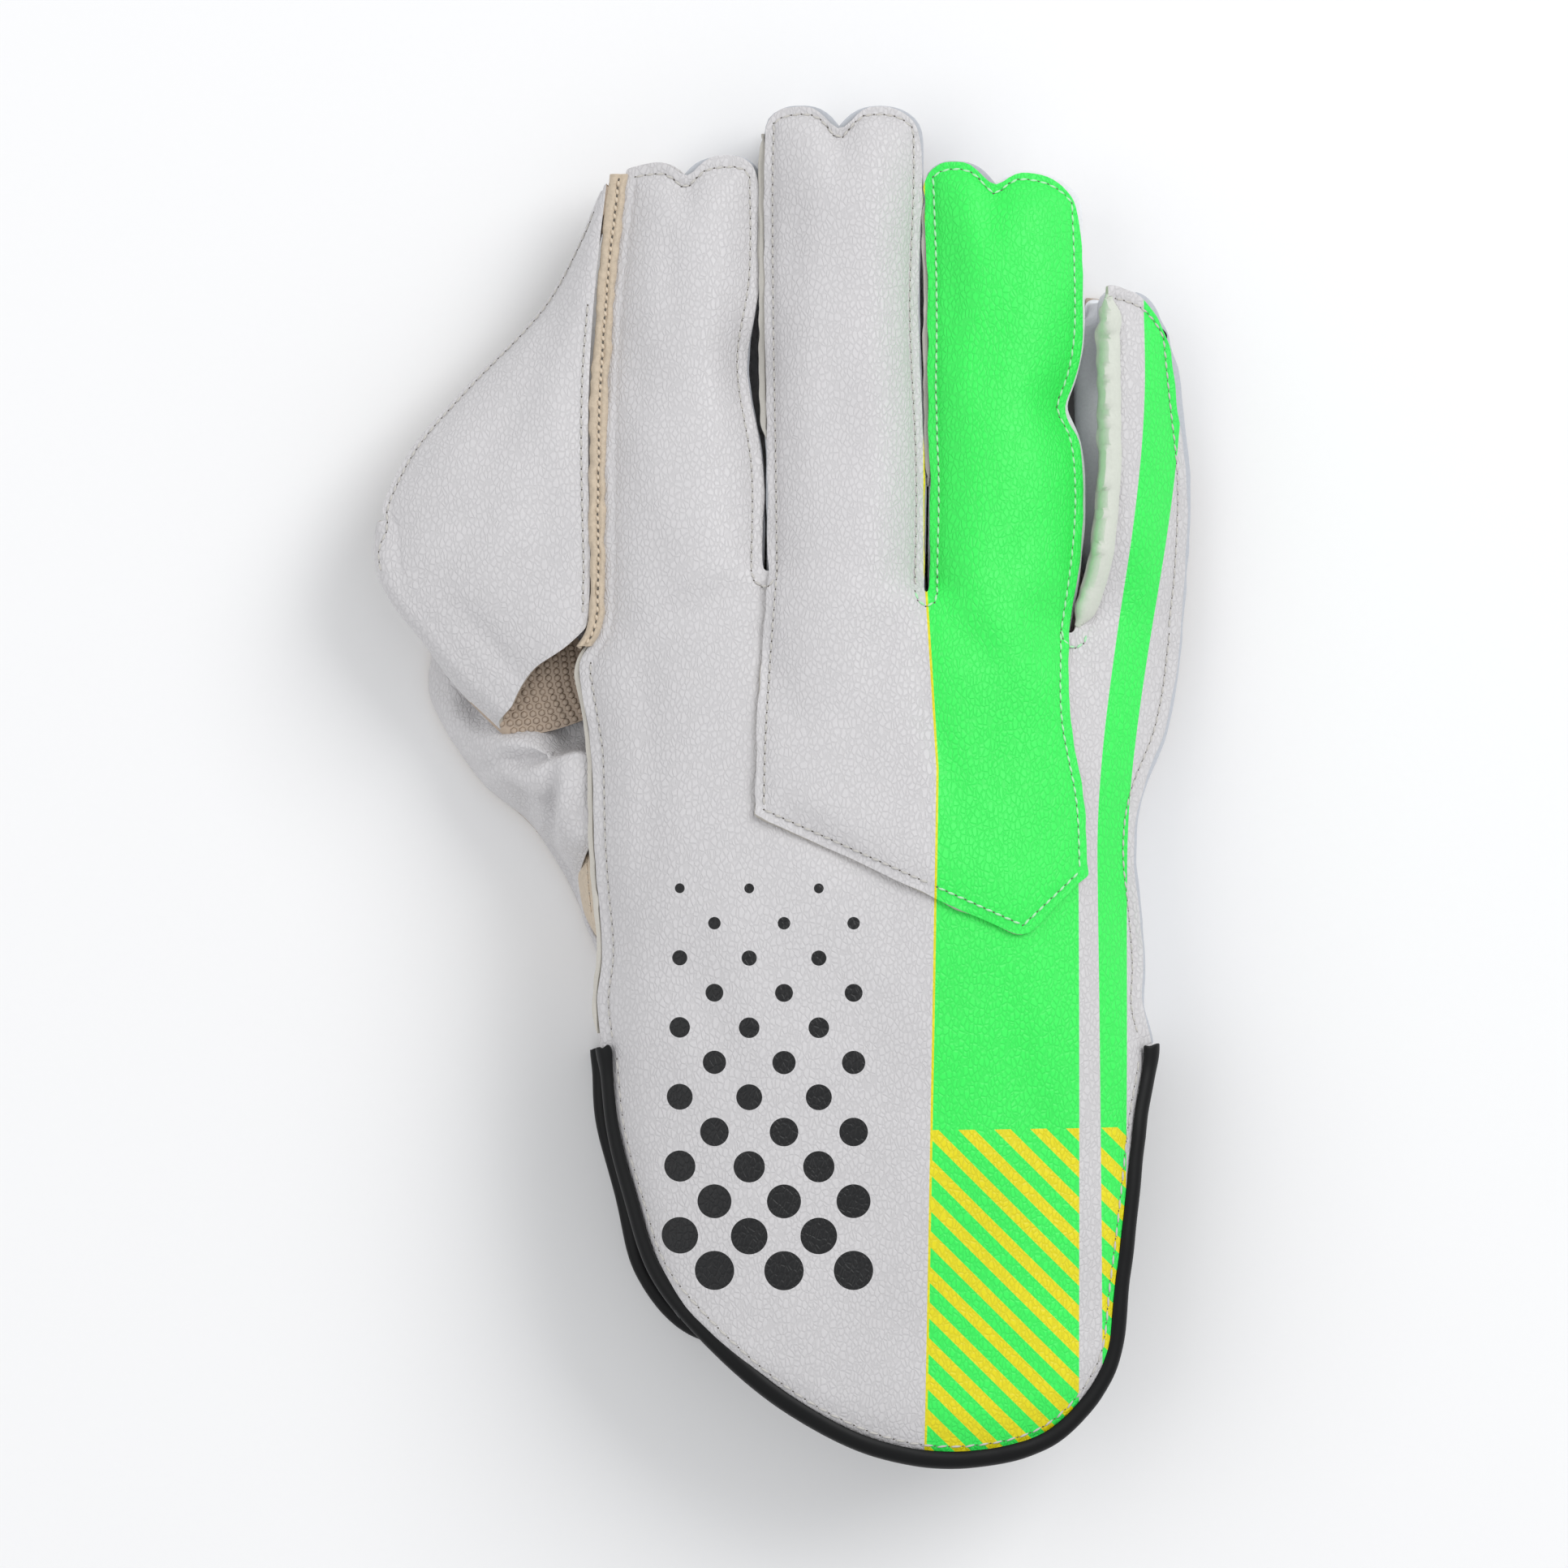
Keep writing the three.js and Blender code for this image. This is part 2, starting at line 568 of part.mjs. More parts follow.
// Slope of the back, and the height just under its leather, measured square to that slope
function backSlope(x, y) {
  const across = backHeight(x + SLOPE_STEP, y) - backHeight(x - SLOPE_STEP, y);
  const along = backHeight(x, y + SLOPE_STEP) - backHeight(x, y - SLOPE_STEP);
  return [across / (2 * SLOPE_STEP), along / (2 * SLOPE_STEP)];
}

function underBack(x, y, depth) {
  return backHeight(x, y) - depth * Math.hypot(1, ...backSlope(x, y));
}

// One side of a finger's stall, walked from the notch at its tip to its root
const TIP_STEPS = 3;
const SIDE_STEPS = 8;
const CROTCH_STEPS = 4;
const WALL_ROWS = 2;

function stall(finger, side) {
  const middleU = FINGERTIPS[finger.name].notchAt;
  const outerU = side === 'left' ? 0 : 1;
  const startU = middleU + (side === 'left' ? -1 : 1) * (GAP / finger.width);
  const stops = [];
  for (let k = 0; k < TIP_STEPS; k += 1) {
    stops.push({ finger, u: lerp(startU, outerU, k / TIP_STEPS), t: 1 });
  }
  for (let k = 0; k <= SIDE_STEPS; k += 1) {
    stops.push({ finger, u: outerU, t: 1 - k / SIDE_STEPS });
  }
  return stops.map(({ u, t }) => {
    const high = insetPlan(finger, u, t, WELT);
    const low = insetPlan(finger, u, t, WELT, GUSSET_LEAN);
    const laidOver = OVERLAY_FINGERS.includes(finger) ? smooth(t, 0.02, 0.14) : 0;
    return { high, low, depth: lerp(LEATHER + GAP, GAP, laidOver) };
  });
}

// The turn of a gusset under the crotch between two fingers
function crotch(before, after) {
  const turns = [];
  for (let k = 1; k < CROTCH_STEPS; k += 1) {
    const angle = (Math.PI * k) / CROTCH_STEPS;
    const radius = (after.high.x - before.high.x) / 2;
    const x = (before.high.x + after.high.x) / 2 - radius * Math.cos(angle);
    const y = lerp(before.high.y, after.high.y, k / CROTCH_STEPS) - radius * Math.sin(angle);
    turns.push({ high: { x, y }, low: { x, y }, depth: LEATHER + GAP });
  }
  return turns;
}

// A gusset standing between the palm and the back along a list of stops, its face to the outside
function gusset(stops, bulge = 0) {
  return wall(stops.length - 1, WALL_ROWS, (i, j) => {
    const { high, low, depth } = stops[i];
    const share = j / WALL_ROWS;
    const after = stops[Math.min(i + 1, stops.length - 1)].high;
    const before = stops[Math.max(i - 1, 0)].high;
    const run = Math.hypot(after.x - before.x, after.y - before.y);
    const inner = {
      x: high.x + (GUSSET * (after.y - before.y)) / run,
      y: high.y - (GUSSET * (after.x - before.x)) / run,
    };
    const top = Math.min(underBack(high.x, high.y, depth), underBack(inner.x, inner.y, depth));
    const x = lerp(low.x, high.x, share) - bulge * Math.sin(Math.PI * share);
    const y = lerp(low.y, high.y, share);
    const floor = palmHeight(low.y) + FACING + 2 * GAP;
    return new THREE.Vector3(x, y, lerp(floor, top, share));
  }, 0, GUSSET);
}

function between(before, after) {
  const down = stall(before, 'right');
  const up = stall(after, 'left').reverse();
  return gusset([...down, ...crotch(down[down.length - 1], up[0]), ...up]);
}

// Stops down one side of the hand between two heights of the plan
function handSide(side, fromY, toY, steps, inset) {
  const stops = [];
  for (let k = 0; k <= steps; k += 1) {
    const y = lerp(fromY, toY, k / steps);
    const spot = { x: gloveEdgeX(side, y) + (side === 'left' ? inset : -inset), y };
    stops.push({ high: spot, low: spot, depth: LEATHER + GAP });
  }
  return stops;
}

// Web between index finger and thumb: a leaf from the seam to the rim, folded back under below
const webTopY = index.leftY + INDEX_LENGTH - tipDrop(index, 0);
const webY = (down) => webTopY - WEB_LENGTH * down;
const webX = (out) => HAND_LEFT - WEB_REACH * out;
const WEB_COLUMNS = 20;
const WEB_LEAF_ROWS = 5;
const WEB_TURN_ROWS = 3;
const WEB_BACK_ROWS = 3;

function webRoot(y) {
  return gloveEdgeX('left', y) - SEAM_WIDTH - 4 * GAP;
}

function webSection(s) {
  const value = (column) => read(WEB_SECTIONS, column, s);
  const root = new THREE.Vector2(webRoot(webY(value('rootDown'))), webY(value('rootDown')));
  const rim = new THREE.Vector2(webX(value('rimOut')), webY(value('rimDown')));
  const back = new THREE.Vector2(webX(value('backOut')), webY(value('backDown')));
  const inward = root.clone().sub(rim).normalize();
  const radius = WEB_FOLD_RADIUS * smooth(s, WEB_FOLD_START - 0.14, WEB_FOLD_START);
  const turn = rim.clone().addScaledVector(inward, radius);
  return { root, rim, back, inward, radius, turn, height: HAND_HEIGHT * value('rimHeight') };
}

function webPlace(s, j) {
  const { root, back, inward, radius, turn, height } = webSection(s);
  if (j <= WEB_LEAF_ROWS) {
    const p = j / WEB_LEAF_ROWS;
    const start = backHeight(gloveEdgeX('left', root.y), root.y);
    const crown = WEB_CROWN * Math.min(root.distanceTo(turn) / WEB_REACH, 1);
    const z = lerp(start, height, p ** WEB_FALL) + crown * 4 * p * (1 - p);
    return new THREE.Vector3(lerp(root.x, turn.x, p), lerp(root.y, turn.y, p), z);
  }
  if (j <= WEB_LEAF_ROWS + WEB_TURN_ROWS) {
    const angle = (Math.PI * (j - WEB_LEAF_ROWS)) / WEB_TURN_ROWS;
    const spot = turn.clone().addScaledVector(inward, -radius * Math.sin(angle));
    return new THREE.Vector3(spot.x, spot.y, height - WEB_FOLD_RADIUS * (1 - Math.cos(angle)));
  }
  const p = (j - WEB_LEAF_ROWS - WEB_TURN_ROWS) / WEB_BACK_ROWS;
  const lip = WEB_LIP * Math.sin(Math.PI * p) * smooth(s, WEB_FOLD_START, 1);
  const low = height - 2 * WEB_FOLD_RADIUS;
  const z = low + WEB_RETURN_RISE * p;
  return new THREE.Vector3(lerp(turn.x, back.x, p), lerp(turn.y, back.y, p) - lip, z);
}

function webSheet(from, to) {
  const rows = WEB_LEAF_ROWS + WEB_TURN_ROWS + WEB_BACK_ROWS;
  const place = (i, j) => webPlace(i / WEB_COLUMNS, j);
  const keep = (i, j) => j < WEB_LEAF_ROWS || i / WEB_COLUMNS >= WEB_FOLD_START;
  return wall(WEB_COLUMNS, rows, place, from, to, keep);
}

// Raw seam strip between the index finger and the web
const SEAM_COLUMNS = 14;
const SEAM_TOP = 0.03;
const SEAM_END = 0.93;
const SEAM_THICKNESS = 2.6;

function seamPlace(i, j) {
  const y = webY(lerp(SEAM_TOP, SEAM_END, i / SEAM_COLUMNS));
  const edge = gloveEdgeX('left', y);
  return new THREE.Vector3(edge - GAP - SEAM_WIDTH * j, y, backHeight(edge, y) + SEAM_RISE);
}

// Thumb hood from the hand's edge over to the ground, and the rubber plate under it
const THUMB_COLUMNS = 6;
const THUMB_ROWS = 13;
const THUMB_BASE_SHARE = 0.8;
const thumbY = (up) => KNUCKLE_Y - THUMB_BASE_SHARE * HAND_LENGTH + THUMB_LENGTH * up;
const thumbX = (out) => HAND_LEFT - THUMB_REACH * out;

function thumbPlace(i, j) {
  const value = (column) => read(THUMB_SECTIONS, column, j / THUMB_ROWS);
  const angle = ((Math.PI / 2) * i) / THUMB_COLUMNS;
  const q = Math.sin(angle) ** (2 / THUMB_ROUND);
  const rise = Math.max(Math.cos(angle), 0) ** (2 / THUMB_ROUND);
  const x = lerp(thumbX(value('topOut')), thumbX(value('groundOut')), q);
  const y = lerp(thumbY(value('topUp')), thumbY(value('groundUp')), q);
  const ground = FACING + 2 * GAP;
  return new THREE.Vector3(x, y, ground + (THUMB_HEIGHT * value('height') - ground) * rise);
}

const PLATE_COLUMNS = 4;
const PLATE_ROWS = 10;

function platePlace(i, j) {
  const row = j / PLATE_ROWS;
  const y = thumbY(read(THUMB_SECTIONS, 'groundUp', row));
  const outer = thumbX(read(THUMB_SECTIONS, 'groundOut', row));
  const inner = gloveEdgeX('left', y) + PALM_WELT - 3 * GAP;
  return new THREE.Vector3(lerp(inner, outer, i / PLATE_COLUMNS), y, FACING);
}

// Palm side of the cuff: leather outside on the ground, lining inside
const PALM_CUFF_COLUMNS = 10;
const PALM_CUFF_ROWS = 7;
const PALM_CUFF_SIDE_SHARE = 0.3;
const PALM_CUFF_LIFT = BINDING + BINDING_PLAY;
const palmCuffOutline = walk(cuffPoints(PALM_CUFF_EDGE, PALM_CUFF_LENGTH).map((spot) => ({
  x: spot.x,
  y: spot.y - GAP,
})));
const palmCuffPatch = patch(
  (u) => ({ x: lerp(palmCuffOutline(0).x, palmCuffOutline(1).x, u), y: CUFF_TOP_Y - GAP }),
  (u) => palmCuffOutline(lerp(PALM_CUFF_SIDE_SHARE, 1 - PALM_CUFF_SIDE_SHARE, u)),
  (v) => palmCuffOutline(v * PALM_CUFF_SIDE_SHARE),
  (v) => palmCuffOutline(1 - v * PALM_CUFF_SIDE_SHARE),
);
const PALM_CUFF_STACK = LEATHER + GAP + LINING;

function palmCuffPlace(i, j) {
  const spot = palmCuffPatch(i / PALM_CUFF_COLUMNS, j / PALM_CUFF_ROWS);
  return new THREE.Vector3(spot.x, spot.y, PALM_CUFF_LIFT + PALM_CUFF_STACK);
}

// A binding rolled over the edge of a flap: stops are the flap's own edge, stack its thickness
const BINDING_LIP = 1.5;
const BINDING_ROWS = 6;

function binding(stops, stack, normalAt) {
  const flat = BINDING + BINDING_PLAY;
  const reach = BINDING_WIDTH - BINDING_LIP;
  const section = [
    [reach, flat],
    [reach * 0.3, flat + BINDING_CROWN],
    [-BINDING_LIP * 0.6, flat * 0.6],
    [-BINDING_LIP, -stack / 2],
    [-BINDING_LIP * 0.6, -stack - flat * 0.6],
    [reach * 0.3, -stack - flat],
    [reach, -stack - flat],
  ];
  const place = (i, j) => {
    const along = stops[Math.min(i + 1, stops.length - 1)].clone().sub(stops[Math.max(i - 1, 0)]);
    const normal = normalAt(stops[i]);
    const inward = normal.clone().cross(along).normalize();
    const [into, up] = section[j];
    return stops[i].clone().addScaledVector(inward, into).addScaledVector(normal, up);
  };
  return wall(stops.length - 1, BINDING_ROWS, place, 0, BINDING);
}

function backNormal(spot) {
  const [slopeX, slopeY] = backSlope(spot.x, spot.y);
  return new THREE.Vector3(-slopeX, -slopeY, 1).normalize();
}

// The back panel's own edge stops round the cuff, so that the binding follows the same line
function cuffRim() {
  const rim = [];
  for (let j = 1; j < HAND_ROWS; j += 1) {
    rim.push(onBack(handPatch(0, j / HAND_ROWS)));
  }
  BACK_STOPS.forEach((stop) => rim.push(onBack(handPatch(rootShare(stop, FINGERS, 0), 1))));
  for (let j = HAND_ROWS - 1; j > 0; j -= 1) {
    rim.push(onBack(handPatch(1, j / HAND_ROWS)));
  }
  return rim.filter((spot) => spot.y < CUFF_TOP_Y + CUFF_RIM_START);
}

function palmCuffRim() {
  const rim = [];
  for (let j = 1; j < PALM_CUFF_ROWS; j += 1) {
    rim.push(palmCuffPlace(0, j));
  }
  for (let i = 0; i <= PALM_CUFF_COLUMNS; i += 1) {
    rim.push(palmCuffPlace(i, PALM_CUFF_ROWS));
  }
  for (let j = PALM_CUFF_ROWS - 1; j > 0; j -= 1) {
    rim.push(palmCuffPlace(PALM_CUFF_COLUMNS, j));
  }
  return rim;
}

// Finishes
const finish = (color, roughness) => new THREE.MeshStandardMaterial({ color, roughness, metalness: 0 });
const WHITE_LEATHER = finish(0xe2e0e6, 0.55);
const GREEN_LEATHER = finish(0x4cf05a, 0.55);
const GREY_GUSSET = finish(0xbfc1c8, 0.7);
const BEIGE_SEAM = finish(0xdcceba, 0.85);
const TAN_RUBBER = finish(0xab9887, 0.8);
const BLACK_VINYL = finish(0x1c1e20, 0.35);
const BLACK_LINING = finish(0x16171a, 0.9);

const glove = new THREE.Group();

function add(name, geometry, material) {
  const mesh = new THREE.Mesh(geometry, material);
  mesh.name = name;
  glove.add(mesh);
}

// Places where the gussets of the thumb side change
const GATE_TOP_Y = thumbY(0.61);
const GATE_END_Y = thumbY(0.34);
const WRIST_TOP_Y = thumbY(0);
const THUMB_GUSSET_BULGE = 3;

add('back_panel', wall(
  BACK_STOPS.length - 1,
  FINGER_ROWS + HAND_ROWS,
  backPlace,
  0,
  LEATHER,
  backKept,
), WHITE_LEATHER);
add('finger_overlay', wall(
  OVERLAY_STOPS.length - 1,
  FINGER_ROWS + OVERLAY_ROWS,
  overlayPlace,
  0,
  LEATHER,
  (i, j) => j >= FINGER_ROWS || sameFinger(OVERLAY_STOPS, i),
), GREEN_LEATHER);
add('palm_panel', wall(
  PALM_STOPS.length - 1,
  PALM_FINGER_ROWS + PALM_HAND_ROWS,
  palmPlace,
  0,
  FACING,
  (i, j) => j >= PALM_FINGER_ROWS || sameFinger(PALM_STOPS, i),
), TAN_RUBBER);
add('side_index', gusset([
  ...handSide('left', GATE_TOP_Y, index.leftY, 3, WELT).slice(0, -1),
  ...stall(index, 'left').reverse(),
]), WHITE_LEATHER);
add('side_index_middle', between(index, middle), GREY_GUSSET);
add('side_middle_ring', between(middle, ring), GREY_GUSSET);
add('side_ring_little', between(ring, little), GREY_GUSSET);
add('side_outer', gusset([
  ...stall(little, 'right').slice(0, -1),
  ...handSide('right', little.rightY, CUFF_TOP_Y, 9, WELT),
]), GREY_GUSSET);
add('side_wrist', gusset(handSide('left', CUFF_TOP_Y, WRIST_TOP_Y - GAP, 3, WELT)), WHITE_LEATHER);
add('thumb_gusset', gusset(
  handSide('left', WRIST_TOP_Y, GATE_END_Y, 4, THUMB_GUSSET_INSET),
  THUMB_GUSSET_BULGE,
), BEIGE_SEAM);
add('web_leather', webSheet(0, LEATHER), WHITE_LEATHER);
add('web_facing', webSheet(LEATHER + GAP, LEATHER + GAP + FACING), TAN_RUBBER);
add('web_seam', wall(SEAM_COLUMNS, 1, seamPlace, 0, SEAM_THICKNESS), BEIGE_SEAM);
add('thumb_back', wall(THUMB_COLUMNS, THUMB_ROWS, thumbPlace, 0, LEATHER), WHITE_LEATHER);
add('thumb_facing', wall(PLATE_COLUMNS, PLATE_ROWS, platePlace, 0, FACING), TAN_RUBBER);
add('palm_cuff', wall(
  PALM_CUFF_COLUMNS,
  PALM_CUFF_ROWS,
  palmCuffPlace,
  LINING + GAP,
  PALM_CUFF_STACK,
), WHITE_LEATHER);
add('palm_cuff_lining', wall(PALM_CUFF_COLUMNS, PALM_CUFF_ROWS, palmCuffPlace, 0, LINING), BLACK_LINING);
add('binding_back', binding(cuffRim(), LEATHER, backNormal), BLACK_VINYL);
add('binding_palm', binding(palmCuffRim(), PALM_CUFF_STACK, () => new THREE.Vector3(0, 0, 1)), BLACK_VINYL);

export default glove;
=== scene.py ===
# Looks of a right-hand wicketkeeping glove lying palm down: leather, rubber, seams, stitching and binding
import math

import bmesh
import bpy
from mathutils import Matrix, Vector, noise
from mathutils.bvhtree import BVHTree


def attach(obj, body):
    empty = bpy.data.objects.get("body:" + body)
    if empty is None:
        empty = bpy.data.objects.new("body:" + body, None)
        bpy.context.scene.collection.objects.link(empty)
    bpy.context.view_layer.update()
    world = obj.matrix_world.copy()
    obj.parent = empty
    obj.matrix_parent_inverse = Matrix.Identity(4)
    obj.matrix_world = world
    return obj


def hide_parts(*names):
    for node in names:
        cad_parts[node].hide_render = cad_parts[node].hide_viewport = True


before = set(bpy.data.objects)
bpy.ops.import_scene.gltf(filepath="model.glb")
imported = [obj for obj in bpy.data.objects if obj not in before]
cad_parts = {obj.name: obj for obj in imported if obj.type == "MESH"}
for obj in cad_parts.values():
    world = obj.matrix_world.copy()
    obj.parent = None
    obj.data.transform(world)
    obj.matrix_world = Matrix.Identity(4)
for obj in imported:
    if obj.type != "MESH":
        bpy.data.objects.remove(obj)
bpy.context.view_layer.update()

bl_info = {
    "name": "Wicketkeeping glove",
    "version": (1, 0, 0),
    "blender": (4, 5, 0),
    "location": "View3D > Sidebar > Glove",
    "description": "Builds the leather, rubber and stitching of a wicketkeeping glove around its solids",
    "category": "Object",
}

MM = 0.001
BODY = "root"


def linear(hex_colour):
    """An sRGB hex colour as linear red, green and blue"""
    channels = [int(hex_colour[n:n + 2], 16) / 255 for n in (0, 2, 4)]
    return [c / 12.92 if c <= 0.04045 else ((c + 0.055) / 1.055) ** 2.4 for c in channels]


def size_property(name, description, default, low=0.0):
    """A length in metres"""
    return bpy.props.FloatProperty(
        name=name, description=description, default=default, min=low,
        precision=5, subtype="DISTANCE", unit="LENGTH")


def colour_property(name, description, hex_colour):
    """A colour, given as sRGB hex"""
    return bpy.props.FloatVectorProperty(
        name=name, description=description, default=linear(hex_colour), size=3, min=0, max=1, subtype="COLOR")


class GloveSizes(bpy.types.PropertyGroup):
    leather: size_property("Leather", "Thickness of the back, web and cuff leather", 0.0016)
    facing: size_property("Facing", "Thickness of the rubber facing", 0.0022)
    gusset: size_property("Gusset", "Thickness of the gusset leather", 0.0012)
    welt: size_property("Welt", "Distance from a panel's edge to its seam", 0.003)
    stitch_pitch: size_property("Stitch pitch", "Distance from one stitch to the next", 0.0027, 0.001)
    cuff_pitch: size_property(
        "Cuff stitch pitch", "Distance between the stitches of the binding", 0.0036, 0.001)
    thread: size_property("Thread", "Thickness of the sewing thread", 0.00055)
    grain: size_property("Grain", "Width of one cell of the leather's pebble grain", 0.0015, 0.0002)
    pimple_pitch: size_property("Pimple pitch", "Distance between the pimples of the rubber", 0.0023, 0.001)
    pimple_height: size_property("Pimple height", "Height of the pimples of the rubber", 0.0006)
    print_pitch: size_property("Print pitch", "Distance between the dots of the black print", 0.0125, 0.002)
    bar_pitch: size_property("Bar pitch", "Distance between the yellow bars", 0.0066, 0.002)


class GloveColours(bpy.types.PropertyGroup):
    white: colour_property("White leather", "Leather of the back, thumb, web and cuff", "cecccd")
    green: colour_property("Green leather", "Fluorescent green print", "38f05c")
    yellow: colour_property("Yellow print", "Bars near the cuff", "e6da10")
    black_print: colour_property("Black print", "Dots on the back of the hand", "0b0c0e")
    gusset: colour_property("Gusset leather", "Leather between the fingers", "c2c6cd")
    # Lighter than the other gussets: painted light on the gusset wall beside the little finger, which lies in
    # shade
    pale_gusset: colour_property("Pale gusset leather", "Leather beside the little finger", "eceef1")
    welt: colour_property("Cut edge", "Cut edge of the white leather", "c9c4ba")
    seam: colour_property("Raw seam", "Raw beige seam beside the web", "d8c7b0")
    hand_layer: colour_property("Hand edge layer", "Layer under the welt on the thumb's side", "cdc9c0")
    finger_layer: colour_property("Finger edge layer", "Layer under the welts of the long fingers", "b9b6af")
    little_layer: colour_property(
        "Little finger edge layer", "Layer under the welt of the little finger", "d3d7cc")
    rubber: colour_property("Rubber", "Pimpled facing of palm and web", "b8a694")
    vinyl: colour_property("Vinyl", "Rolled binding of the cuff", "090a0b")
    lining: colour_property("Lining", "Brushed lining of the cuff", "141518")
    thread: colour_property("Thread", "Sewing thread on white leather", "cac7c1")
    green_thread: colour_property("Thread on green", "Sewing thread on green leather", "b2efbb")
    hole: colour_property("Needle holes", "Shade of the holes between stitches", "67615a")
    floor: colour_property("Floor", "Paper that the glove lies on", "f3f3f3")


# Finger sizes in millimetres
SLIT = 1.4
KNUCKLE_Y = 54.6
SPLIT_X = 36.4
RING_CROTCH_DROP = 5.6
LITTLE_CROTCH_DROP = 15.7
FINGER_SIZES = {
    "index": {"width": 41.0, "length": 107.0},
    "middle": {"width": 39.7, "length": 126.2},
    "ring": {"width": 38.5, "length": 120.5},
    "little": {"width": 25.2, "length": 87.8},
}

# Hand, web and thumb sizes in millimetres
HAND_WIDTH = 148.3
HAND_LENGTH = 122.4
CUFF_LENGTH = 105.6
PALM_CUFF_LENGTH = 76.0
HAND_HEIGHT = 60.0
PALM_ARCH = 5.0
CROWN = 5.0
RIDGE = 8.0
RIDGE_EDGE = 0.03
LEAN = 6.0
WEB_REACH = 59.8
WEB_LENGTH = 120.0
FOLD_RADIUS = 5.0
SEAM_WIDTH = 3.4
THUMB_LENGTH = 103.0
THUMB_REACH = 46.4
THUMB_HEIGHT = 40.0
PALM_WELT = 1.6
GAP = 0.3
LAP_GAP = 0.8

# Seams, their puffed leather and the cuff's layers in millimetres
BACK_SEAM = 3.0
OVERLAY_SEAM = 2.2
CUFF_SEAM = 4.4
RIM_SEAM = 1.7
ROOT_SEAM = 1.8
PUFF = 2.2
PUFF_REACH = 9
GROOVE_DEPTH = 0.6
GROOVE_WIDTH = 0.7
WELT_STOPS = (0, 1.1, 2.3, 3.0, 3.7, 5.0)
NOTCH_GAP = 0.15
UNDER_SEAM = 2.8
UNDER_WEB = (60, 26.5)
SEAM_INSET = 0.3
SEAM_MIDDLE = 1.75
BASE_SEAM = {"from_y": -16.0, "to_y": -34.0, "inset": -2.4, "steps": 30}
LEFT_SEAM_TOP = 31.0
HAND_LAYER_TOP = 37.0
HEM_SEAM = {"left": (2.3, 1.3), "point": (-0.2, 3.4), "right": (-2.3, 0.8)}
PALM_CUFF_LIFT = 1.65
PALM_CUFF_STACK = 2.9
LOWEST = 0.15
GUSSET_SWELL = {
    ("little", "left"): 7.0, ("ring", "right"): 2.4, ("index", "right"): 0.8, ("little", "right"): 1.2}
THUMB_SWELL = 7.0

# Walls in metres that no size of the panel sets, and the angle in degrees from which an edge is bevelled
STRIP_WALL = 0.0012
LINING_WALL = 0.001
LAYER_WALL = 0.0011
VINYL_WALL = 0.0011
CUT_ANGLE = 50

# Soft waves of the back, the web and the thumb: depth, width and length in millimetres, and a seed
BACK_WAVES = ((0.7, 15, 24, 3.1), (0.24, 5, 7, 8.2))
WEB_WAVES = ((0.4, 16, 20, 6.6), (0.12, 5, 6, 2.2))
THUMB_WAVES = ((0.8, 7, 10, 4.2), (0.35, 3, 4, 1.9))

# Stitches as shares of pitch and thread, and needle holes as shares of the thread
STITCH_LENGTH = 0.8
STITCH_WIDTH = 1.2
STITCH_LIFT = 0.16
HOLE_SHAPE = (1.3, 0.9, 0.5)
HOLE_SINK = 0.03

# Rows and share of a finger's width over which a panel reaches under the one that covers it
COVER_ROWS = 3
COVER_SHARE = 0.1

# Widths of a sheet's cells in millimetres, numbers of cells and of steps along seams
BACK_CELL = 3.4
OVERLAY_CELL = 3.2
PALM_CELL = 6.0
LEAF_SHARES = 26
FOLD_CELLS = 8
RETURN_CELLS = 9
WEB_LENGTH_CELLS = 58
RAW_SEAM_CELLS = 120
CURVE_STEPS = 24
SEAM_STEPS = 60
HEM_STEPS = 24
LAYER_STEPS = 70

# Pimples as shares of their pitch and height, and how far to each side their rows reach
PIMPLE_WIDTH = 0.84
PIMPLE_LIFT = 0.45
ROW_STEP = 0.866
PIMPLE_REACH = 110

# Heights in millimetres where rays start, and the step in shares at which a slope is measured
BELOW = -20
ABOVE = 300
PROBE = 0.01

LEATHER_SHADER = {"Roughness": 0.44, "IOR": 1.5, "Specular IOR Level": 0.42}
COLOUR_MIX = {"data_type": "RGBA"}
# Print in metres: limits of the dots, slope and start of the lines that the white half ends at and its least
# x, the yellow edge, the print's right and upper limits, and the top of the bars
DOT_LIMITS = (("X", -0.035, 0.026), ("Y", -0.132, -0.026))
SPLIT_LINES = ((-0.059, 0.0396), (0.0171, 0.0393))
SPLIT_LEAST = 0.0364
YELLOW_EDGE = 0.0006
PRINT_RIGHT = 0.0755
PRINT_TOP = -0.02
BAR_TOP = -0.088


def table(columns, *rows):
    """Rows of numbers as dictionaries with named columns"""
    return [dict(zip(columns, row)) for row in rows]


EDGE_COLUMNS = ("at", "left", "right")
FINGER_EDGES = {
    "index": table(
        EDGE_COLUMNS, (0, 0, 0), (0.25, 0, 0), (0.5, 0.02, -0.1), (0.72, 0.06, -0.02), (1, 0.14, -0.025)),
    "middle": table(
        EDGE_COLUMNS, (0, 0, 0), (0.25, -0.01, 0.012), (0.58, -0.025, -0.028), (0.85, -0.03, 0),
        (1, -0.02, 0)),
    "ring": table(
        EDGE_COLUMNS, (0, 0, -0.06), (0.12, 0.005, 0), (0.2, 0.01, 0.03), (0.28, 0.01, 0.045),
        (0.37, 0, 0.035), (0.43, 0, 0), (0.46, 0, -0.06), (0.49, 0, -0.085), (0.53, 0, -0.035),
        (0.58, 0, 0.012), (0.66, 0, 0.045), (0.8, -0.005, 0.045), (1, -0.025, 0.03)),
    "little": table(
        EDGE_COLUMNS, (0, -0.09, 0.03), (0.2, 0.15, 0.08), (0.47, 0.25, 0.1), (0.75, 0.25, 0),
        (1, 0.27, -0.08)),
}
TIP_COLUMNS = ("left_drop", "right_drop", "corner", "notch_at", "notch", "fall")
